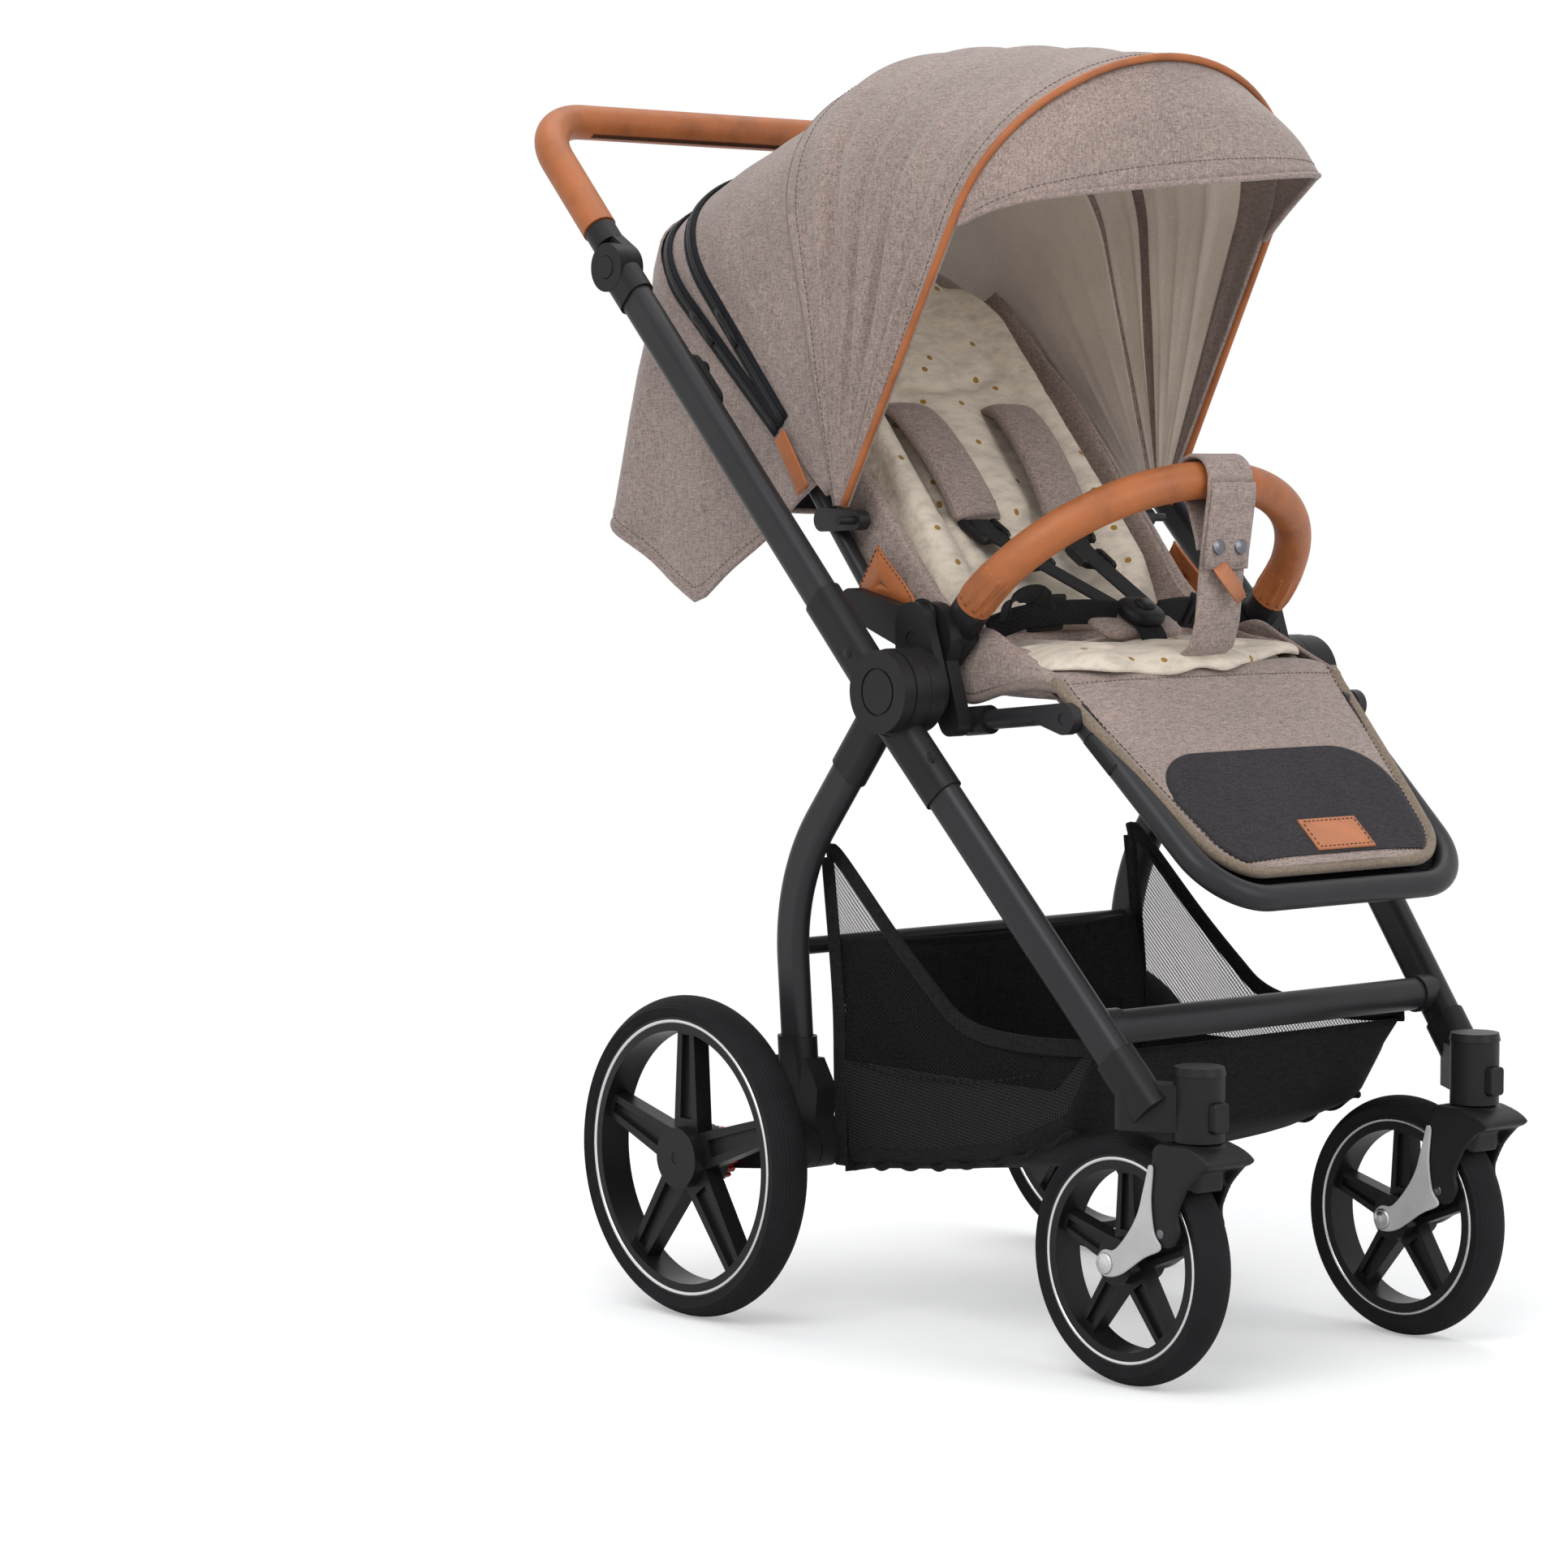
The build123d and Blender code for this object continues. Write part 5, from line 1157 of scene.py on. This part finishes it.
drape_top, drape_under = [], []
for share in np.linspace(0, 1, 26):
    bulge = rounded((share - 0.8) / 0.2) * min(1, 0.2 + 3 * share)
    row, under = [], []
    for x, edge in zip(drape_x, drape_w):
        w = DRAPE_START + (edge - DRAPE_START) * share
        lift = 12.5 + 2.2 * share * sin(0.045 * x + 1.2) + 1.2 * sin(0.08 * x - 2 * share)
        row.append(pad_point(x, w, lift - 5 + 8 * bulge * rounded((abs(x) - 156) / 18)))
        under.append(pad_point(x, w, lift - 8))
    drape_top.append(row)
    drape_under.append(under)
drape = double_sheet("liner_front", np.array(drape_top), np.array(drape_under), [CREAM])
fit("seat", "cream_cloth", drape)
soften(drape)

quarter = np.linspace(0, pi / 2, 16)
pad_rows = np.concatenate([np.linspace(-62, 150, 54), PAD_END - PAD_CORNER + PAD_CORNER * np.sin(quarter)])
pad_u = np.linspace(-1, 1, 49)
leg_pad = pad_sheet("leg_rest_pad_cloth", pad_rows, lambda w: pad_u * pad_half(w), 2.5, -6, TAUPE)
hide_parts("leg_rest_pad")


def pad_border(inset, last, lift):
    """Line along the pad's edge, down its right side and up its left."""
    rows = pad_rows[6:]
    line = [pad_point(-pad_half(w) + inset, min(w, last), lift) for w in rows]
    return line + [pad_point(pad_half(w) - inset, min(w, last), lift) for w in rows[::-1]]


pad_edge = resample(pad_border(0, PAD_END, 0), 260)
binding = sweep("leg_rest_binding", pad_edge, [(1.2 * a, b) for a, b in circle(5.4, 12)], OLIVE)
edge_sewing = stitches("leg_rest_edge_sewing", pad_border(7, PAD_END - 8, 3.2), LEG_FACE, STITCH)
fold_line = [pad_point(x, -30, 2.9) for x in np.linspace(-165, 165, 60)]
fold_sewing = stitches("leg_rest_fold_sewing", fold_line, LEG_FACE, THREAD)
for piece in (leg_pad, binding, edge_sewing, fold_sewing):
    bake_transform(piece)

# Dark patch with a round top, blank leather label, and the sling under the pad
PATCH_TOP, PATCH_ROUND, PATCH_INSET = 64, 44, 9
LABEL_X, LABEL_W = (-23, 49), (152, 188)
LABEL_INSET = 3
SLING_TOP, SLING_LENGTH, SLING_ROUND, SLING_TURN, SLING_SAG = 96, 117, 60, 163, 17


def patch_across(w):
    half = pad_half(w) - PATCH_INSET
    above = PATCH_TOP + PATCH_ROUND - w
    if above >= 0:
        half = min(half, 84 + 56 * sqrt(max(0, 1 - (above / PATCH_ROUND) ** 2)))
    return pad_u * half


patch_rows = [PATCH_TOP + PATCH_ROUND * (1 - np.cos(quarter)), np.linspace(114, 152, 12)]
patch_rows += [155 + 36 * np.sin(np.linspace(0, pi / 2, 12))]
patch = pad_sheet("leg_rest_patch", np.concatenate(patch_rows), patch_across, 4.0, 2.0, PATCH)
leather_label = pad_sheet(
    "leather_label", np.linspace(*LABEL_W, 11), lambda w: np.linspace(*LABEL_X, 19), 6.0, 3.6, TAN
)
(x0, x1), (w0, w1) = ((low + LABEL_INSET, high - LABEL_INSET) for low, high in (LABEL_X, LABEL_W))
frame_line = [(x, w0) for x in np.linspace(x0, x1, 20)] + [(x1, w) for w in np.linspace(w0, w1, 10)]
frame_line += [(x, w1) for x in np.linspace(x1, x0, 20)] + [(x0, w) for w in np.linspace(w1, w0, 10)]
frame_line = [pad_point(x, w, 6.3) for x, w in frame_line]
label_sewing = stitches("leather_label_sewing", frame_line, LEG_FACE, STITCH, 3.2, 2.2, 0.5)
sling_grid = []
for w in np.linspace(SLING_TOP, SLING_TOP + SLING_LENGTH, 26):
    past = w - SLING_TURN
    half = min(150, 152 - 0.06 * w) if past < 0 else 84 + sqrt(max(60, SLING_ROUND ** 2 - past ** 2))
    deep = -3 - SLING_SAG * sin(pi * (w - SLING_TOP) / SLING_LENGTH)
    sling_grid.append([leg_rest_point(u * half, w, deep * (1 - u ** 4) - 2) for u in np.linspace(-1, 1, 41)])
sling, _ = cloth("leg_rest_sling", np.array(sling_grid), UP, 1.5, NETCLOTH)
fit("leg_rest", "black_cloth", patch, sling)
fit("leg_rest", "leather", leather_label, label_sewing)

# Bumper ends: gathered leather and flat-sided collars over the plugs
GATHER_RADIUS, GATHER_FOLDS, GATHER_DEPTH = 17.3, 11, 0.8
COLLAR_STEPS, COLLAR_SIZES = (-18, -16.5, 4.5, 6.5), (0.95, 1, 1, 0.95)
BAR_START, BAR_REACH = 5, 156
gather_turn = np.linspace(radians(1.5), radians(15), 16)
gather_size = np.interp(gather_turn, gather_turn[[0, 3, 8, 15]], (0.97, 1.02, 1.0, 0.965))
gather_section = []
for t in np.linspace(0, 2 * pi, 8 * GATHER_FOLDS, endpoint=False):
    radius = GATHER_RADIUS + GATHER_DEPTH * cos(GATHER_FOLDS * t)
    gather_section.append((radius * cos(t), radius * sin(t)))
for label, side in SIDES:
    path = [bumper_point(side * BUMPER_X * cos(t), BAR_START + BAR_REACH * sin(t)) for t in gather_turn]
    gather = sweep("bumper_gather_" + label, path, gather_section, LEATHER, scale=gather_size)
    path = [bumper_point(side * BUMPER_X, reach) for reach in COLLAR_STEPS]
    collar = sweep(
        "bumper_collar_" + label, path, band(33, 27), BLACK, across=(0, cos(BUMPER_LEAN), sin(BUMPER_LEAN)),
        scale=COLLAR_SIZES,
    )
    fit("bumper", "leather", gather)
    fit("bumper", "black_plastic", collar)

# Bumper strap: taupe cloth round the bar, two snaps, a blank leather tab
STRAP_X, STRAP_RADIUS = 2.0, 21.5
SNAP_X, SNAP_PLACE = (-12, 16), (-265.2, 722)
STRAP_TAB = ((-8, -262.5, 706), (-2, -265, 697), (8, -268, 684), (14, -270, 674))
bar_y, bar_z = bumper_point(0, BAR_START + BAR_REACH)[1:]
loop = [(bar_y + STRAP_RADIUS * cos(t), bar_z + STRAP_RADIUS * sin(t))
        for t in np.linspace(radians(-62), radians(188), 26)]
front_run = [(bar_y - 21, bar_z - 14), (-258, 716), (-254, 690), (-250, 655), (-243, 632), (-231, 624)]
back_run = [(-252.5, 718), (-251, 726), (bar_y + 6, bar_z - 24)]
strap_path = upright(STRAP_X, resample([*back_run, *loop, *front_run], 110))
strap_path[:, 0] += 1.2 * np.sin(np.linspace(0, 9, len(strap_path)))
bar_strap = sweep("bumper_strap_cloth", strap_path, ribbon(56, 4), TAUPE, across=ACROSS)
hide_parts("bumper_strap")
overlap_line = np.array([(bar_y - 24.5, bar_z - 2), (bar_y - 25, bar_z - 14), (-262.4, 716), (-261, 702)])
overlap = sweep(
    "bumper_strap_overlap", upright(STRAP_X, overlap_line), ribbon(55, 4.5), TAUPE, across=ACROSS
)
for k, x in enumerate(SNAP_X):
    snap = dome(f"strap_snap_{k}", (x, *SNAP_PLACE), (0, -1, 0.12), 7.4, 3.6, SNAP)
    fit("bumper", "black_plastic", snap)
tab = sweep("strap_tab", STRAP_TAB, ribbon(17, 2.4), TAN, across=(0.86, 0, 0.5), scale=(1, 1, 1, 0.72))
fit("bumper", "taupe_cloth", bar_strap, overlap)
fit("bumper", "leather", tab)

# Harness: shoulder pads, webbing to the buckle, ladder locks, lap and crotch straps, buckle cover
BUCKLE = np.array((0, -150, 655))
BUCKLE_WAY = (0, -0.5, 0.86)
LAP_WAY = (0, -0.45, 0.9)
PAD_PATH = (  # X, height up the backrest and distance out of it
    (68, 292, 12), (67, 284, 28), (65, 262, 36), (62, 220, 39), (59, 178, 37), (57, 150, 32),
)
WEB_PATH = ((57, 158, 30), (54, 132, 34), (42, 100, 44))
LAP_PATH = ((138, -100, 646), (110, -122, 658), (66, -140, 662), (24, -150, 660))
TAIL_PATH = ((96, -128, 662), (112, -136, 678), (132, -132, 676), (138, -118, 656))
CROTCH_PATH = ((0, -176, 630), (0, -172, 642), (0, -162, 652), (0, -152, 656))
PAD_WIDTH, WEB_WIDTH, CROTCH_WIDTH = 55, 25, 32
for label, side in SIDES:
    path = smooth_line([back_point(side * x, up, out) for x, up, out in PAD_PATH], 44)
    pad = sweep("shoulder_pad_" + label, path, pillow(PAD_WIDTH, 15), TAUPE, across=ACROSS)
    edge = np.array((PAD_WIDTH / 2, 0, 0))
    ring = np.concatenate([path + edge, (path - edge)[::-1]])
    ring = resample([*ring, ring[0]], 160)[:-1]
    pipe = sweep("shoulder_piping_" + label, ring, circle(2.5, 8), TAUPE_DARK, cyclic=True)
    if side > 0:
        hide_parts("shoulder_pads", "harness")
    path = [back_point(side * x, up, out) for x, up, out in WEB_PATH]
    path = smooth_line([*path, BUCKLE + (side * 20, 8, 12)], 40)
    web = sweep("shoulder_web_" + label, path, ribbon(WEB_WIDTH, 2.4), WEB, ACROSS)
    for k, at in enumerate((5, 17)):
        lock = ladder_lock(f"ladder_lock_{label}_{k}", path[at], path[at + 1] - path[at], ACROSS, 40 - 4 * k)
        fit("seat", "black_plastic", lock)
    lap_path = smooth_line(on_side(LAP_PATH, side), 36)
    lap = sweep("lap_web_" + label, lap_path, ribbon(WEB_WIDTH, 2.4), WEB, LAP_WAY)
    lock = ladder_lock("lap_lock_" + label, lap_path[16], lap_path[17] - lap_path[16], LAP_WAY, 32)
    tail = strap("lap_tail_" + label, on_side(TAIL_PATH, side), 24, WEB_WIDTH, 2.2, WEB, (0, -0.75, 0.66))
    fit("seat", "taupe_cloth", pad, pipe)
    fit("seat", "webbing", web, lap, tail)
    fit("seat", "black_plastic", lock)
crotch = strap("crotch_web", CROTCH_PATH, 24, CROTCH_WIDTH, 2.6, WEB, ACROSS)
buckle = pebble("buckle", BUCKLE + (0, -6, 6), BUCKLE_WAY, (23, 20, 9), BLACK)
button = pebble("buckle_button", BUCKLE + (0, -11, 13), BUCKLE_WAY, (10, 9, 4.5), RIM)
cover = pebble("buckle_cover", BUCKLE + (0, 4, -5), BUCKLE_WAY, (52, 30, 7), TAUPE, 3.0, 0.35)
fit("seat", "webbing", crotch)
fit("seat", "black_plastic", buckle, button)
fit("seat", "taupe_cloth", cover)

# Basket: one hanging shell with net sides, bound edges and a gathered hem; (Y, Z)
BASKET_RIM = (
    (-305, 292), (-250, 288), (-200, 287), (-155, 290), (-122, 300), (-95, 319), (-40, 364), (38, 434),
    (55, 438),
)
BASKET_LOW = ((-303, 287), (-284, 243), (-262, 208), (-182, 174), (-90, 158), (34, 144))
BASKET_POST = ((194.5, 34, 150), (195, 36, 230), (195, 39, 310), (195, 54, 434))
BASKET_SEAM = ((196, 30, 248), (196.5, -60, 243), (196, -150, 247), (193.5, -230, 262))
BASKET_ROWS, BASKET_HALF, BASKET_ROUND, BASKET_SEAM_Z = 56, 193, 30, 248
BASKET_THICK, NET_COLS, WALL_COLS = 1.6, 11, 18
PANEL_HALF, PANEL_TOP_Z = 192, 352
basket_rim = smooth_line(BASKET_RIM, 120)
basket_low = resample(BASKET_LOW, BASKET_ROWS)
basket_grid = []
for k, (top, low) in enumerate(zip(resample(basket_rim, BASKET_ROWS), basket_low)):
    share = k / (BASKET_ROWS - 1)
    sag = 9 * sin(pi * min(1, share * 1.05)) + 2.0 * sin(26 * share)
    radius = min(BASKET_ROUND, 0.8 * max(top[1] - low[1], 1))
    seam_at = max(0.25, min(0.75, (top[1] - BASKET_SEAM_Z) / max(top[1] - low[1] - radius, 1)))
    wall = []
    for t in np.concatenate([np.linspace(0, seam_at, 12), np.linspace(seam_at, 1, 7)[1:]]):
        puff = 2.5 * sin(pi * t) - 6 * sin(pi * t) * (1 - share) + 1.4 * sin(9 * t + 14 * share)
        y, z = top + (low + (0, radius) - top) * t
        wall.append((BASKET_HALF + puff, y, z))
    inner = BASKET_HALF - radius
    wall += [(inner + radius * cos(t), low[0], low[1] + radius - radius * sin(t))
             for t in np.linspace(0, pi / 2, 7)[1:]]
    bottom = [(x, low[0], low[1] - sag * (1 - (x / 170) ** 2)) for x in np.linspace(inner, -inner, 19)[1:-1]]
    basket_grid.append(wall + bottom + on_side(reversed(wall), -1))
basket_grid = np.array(basket_grid)


def basket_slot(row, col):
    """Open net along the rim, close net below it, cloth on the floor."""
    inward = min(col, basket_grid.shape[1] - 2 - col)
    return 1 if inward < NET_COLS else 2 if inward < WALL_COLS else 0


basket_inner = basket_grid + facing(basket_grid, UP) * BASKET_THICK
basket = double_sheet(
    "basket_cloth", basket_grid, basket_inner, [CLOTH, MESH, NETCLOTH], basket_slot, basket_slot
)
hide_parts("basket")
panel_grid = []
for t in np.linspace(0, 1, 16):
    z = basket_low[-1][1] + (PANEL_TOP_Z - basket_low[-1][1]) * t
    y = 33 + 8 * max(0, (z - 300) / 52)
    row = []
    for x in np.linspace(191, -191, 41):
        free = 1 - (x / PANEL_HALF) ** 2
        row.append((x, y + 5 * sin(pi * t) * free + 1.2 * sin(0.05 * x + 5 * t), z - 7 * t * free))
    panel_grid.append(row)
panel_grid = np.array(panel_grid)
basket_rear, _ = cloth("basket_rear_panel", panel_grid, (0, 1, 0), BASKET_THICK, CLOTH)
rear_tape = sweep("basket_rear_tape", panel_grid[-1], ribbon(14, 3.4), CLOTH, across=UP)
basket_pieces = [basket, basket_rear, rear_tape]
for label, side in SIDES:
    rim = upright(side * 194, resample(basket_rim, 90))
    seam = smooth_line(on_side(BASKET_SEAM, side), 60)
    hem = [(side * (182 - 3 * sin(0.13 * k) ** 2), y, z + 5 + 2.4 * sin(0.55 * k))
           for k, (y, z) in enumerate(resample(BASKET_LOW[2:], 90))]
    basket_pieces += [
        sweep("basket_rim_" + label, rim, ribbon(15, 3.6), CLOTH, across=(0, -0.5, 0.86)),
        strap("basket_post_" + label, on_side(BASKET_POST, side), 50, 16, 3.6, CLOTH, (0, 1, 0)),
        stitches("basket_seam_" + label, seam, (side, 0, 0), CLOTH, 7, 2, 1.1),
        sweep("basket_hem_" + label, hem, circle(3.4, 8), CLOTH),
    ]
fit("chassis", "black_cloth", *basket_pieces)
for piece in basket_pieces:
    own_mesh(piece)

# Wheels: silver rings on both faces of the rims
CASTER_X, FRONT_AXLE = 176, (-327, 110)
WHEELS = (  # body, X, axle, place of the ring along the axle, its radius
    ("front_wheel", CASTER_X, FRONT_AXLE, 14, 91), ("rear_wheel", 266.5, (163, 150.5), 16, 130),
)
RING_SECTION = ((-3, -1), (1.2, -0.6), (1.6, -2.4), (0.6, -4.2), (-3, -4.4))  # along the axle, radius
for label, side in SIDES:
    for wheel, x, axle, step, ring in WHEELS:
        for face in (1, -1):
            outline = [(face * (step + a), ring + b) for a, b in RING_SECTION]
            trim = lathe(f"{wheel}_trim_{label}_{face + 1}", outline, (side * x, *axle), SILVER, 96)
            fit(f"{wheel}_{label}", "steel", trim)

# Caster forks: moulded yokes, light crescent plates, axle bolts and screws; (Y, Z)
YOKE_ARM = (
    (-386, 213), (-379, 196), (-378, 170), (-381, 146), (-391, 132), (-404, 134), (-412, 147), (-409, 161),
    (-420, 184), (-437, 202), (-442, 208), (-426, 216),
)
YOKE_SADDLE = (
    (-384, 214), (-407, 221), (-430, 217), (-446, 209), (-443, 203.5), (-431, 199.5), (-418, 196.5),
    (-404, 200.5), (-388, 208.5),
)
CRESCENT = (
    (-378, 201), (-372, 180), (-365, 158), (-353, 139), (-337, 123), (-324, 121.5), (-316, 113), (-318, 102),
    (-329, 98.5), (-346, 103), (-372, 120), (-393, 131), (-385, 144), (-381, 170), (-383, 199),
)
YOKE_SLABS = ((YOKE_ARM, -29, -23.4), (YOKE_ARM, 23.4, 29), (YOKE_SADDLE, -28.5, 28.5))
YOKE_SCREW, YOKE_CUT, YOKE_VOXEL = (-390, 143), (0, -379, 170), 2.2
PLATE_INNER, PLATE_OUTER, BOLT_X, SCREW_X = 29.1, 32, 31.8, 28.6  # from the middle of the caster
for label, side in SIDES:
    middle = side * CASTER_X
    slabs = [slab_points(smooth_ring(line, 60), middle + low, middle + high, 0.6)
             for line, low, high in YOKE_SLABS]
    node = "caster_fork_" + label
    yoke = moulded("fork_yoke_" + label, node, YOKE_CUT, (0, 1, 0), slabs, BLACK, YOKE_VOXEL)
    fit("caster_" + label, "black_plastic", yoke)
    for face in (-1, 1):
        name, inner, outer = f"{label}_{face + 1}", middle + face * PLATE_INNER, middle + face * PLATE_OUTER
        points, faces = slab_points(smooth_ring(CRESCENT, 90), inner, outer, 0.9)
        plate = mesh_object("crescent_plate_" + name, points, faces, [GREY], smooth=False)
        way = (face, 0, 0)
        bolt = dome("axle_bolt_" + name, (middle + face * BOLT_X, *FRONT_AXLE), way, 9, 4.6, STEEL)
        screw = dome("yoke_screw_" + name, (middle + face * SCREW_X, *YOKE_SCREW), way, 4.2, 1.6, SNAP)
        if face == 1:
            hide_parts("fork_plates_" + label)
        fit("caster_" + label, "grey_plastic", plate)
        fit("caster_" + label, "steel", bolt, screw)

# Small trim: screws in the sleeves, sleeves on the leg-rest tubes, cross-stitched seam under the grip
SLEEVE_SCREWS = (  # body, node, Y, Z
    ("push_frame", "push_hubs", -64, 628), ("chassis", "hub_housing_{}", -152, 538),
    ("rear_frame", "rear_hubs", -75, 544),
)
SLEEVE_OUTER = 225  # a screw sits only on the outermost face
LEG_SLEEVE = ((164, 24), (163.6, 32), (162.6, 52), (162, 64))  # X and distance down from the knee
for label, side in SIDES:
    for number, (body, node, y, z) in enumerate(SLEEVE_SCREWS):
        found, hit, *_ = nodes[node.format(label)].ray_cast((side * 0.4, y * MM, z * MM), (-side, 0, 0))
        x = hit[0] * 1000
        if found and abs(x) > SLEEVE_OUTER:
            place = (x - side * 0.3, y, z)
            screw = dome(f"sleeve_screw_{label}_{number}", place, (side, 0, 0), 5.2, 1.8, RIM)
            fit(body, "steel", screw)
    path = smooth_line([leg_rest_point(side * x, w, 0) for x, w in LEG_SLEEVE], 16)
    sleeve = sweep("leg_rest_sleeve_" + label, path, band(24, 21), BLACK, across=ACROSS)
    fit("leg_rest", "black_plastic", sleeve)

GRIP_TILT, GRIP_LENGTH = radians(43.6), 204
GRIP = np.array((0, 283 + GRIP_LENGTH * sin(GRIP_TILT), 980 + GRIP_LENGTH * cos(GRIP_TILT)))
GRIP_UNDER = np.array((0, -0.6, -0.8))
GRIP_ALONG = np.cross(ACROSS, GRIP_UNDER)
LACE_DEPTH, LACE_HALF, LACE_X, LACE_STEP = 16.9, 2.6, 188, 3.2
for name, flip in (("grip_lace_one", 1), ("grip_lace_two", -1)):
    line = []
    for k, x in enumerate(np.arange(-LACE_X, LACE_X + 1, LACE_STEP)):
        step = flip * LACE_HALF * (1 if k % 2 else -1)
        line.append(GRIP + (x, 0, 0) + GRIP_UNDER * LACE_DEPTH + GRIP_ALONG * step)
    fit("handle", "leather", sweep(name, line, circle(0.75, 6), STITCH))
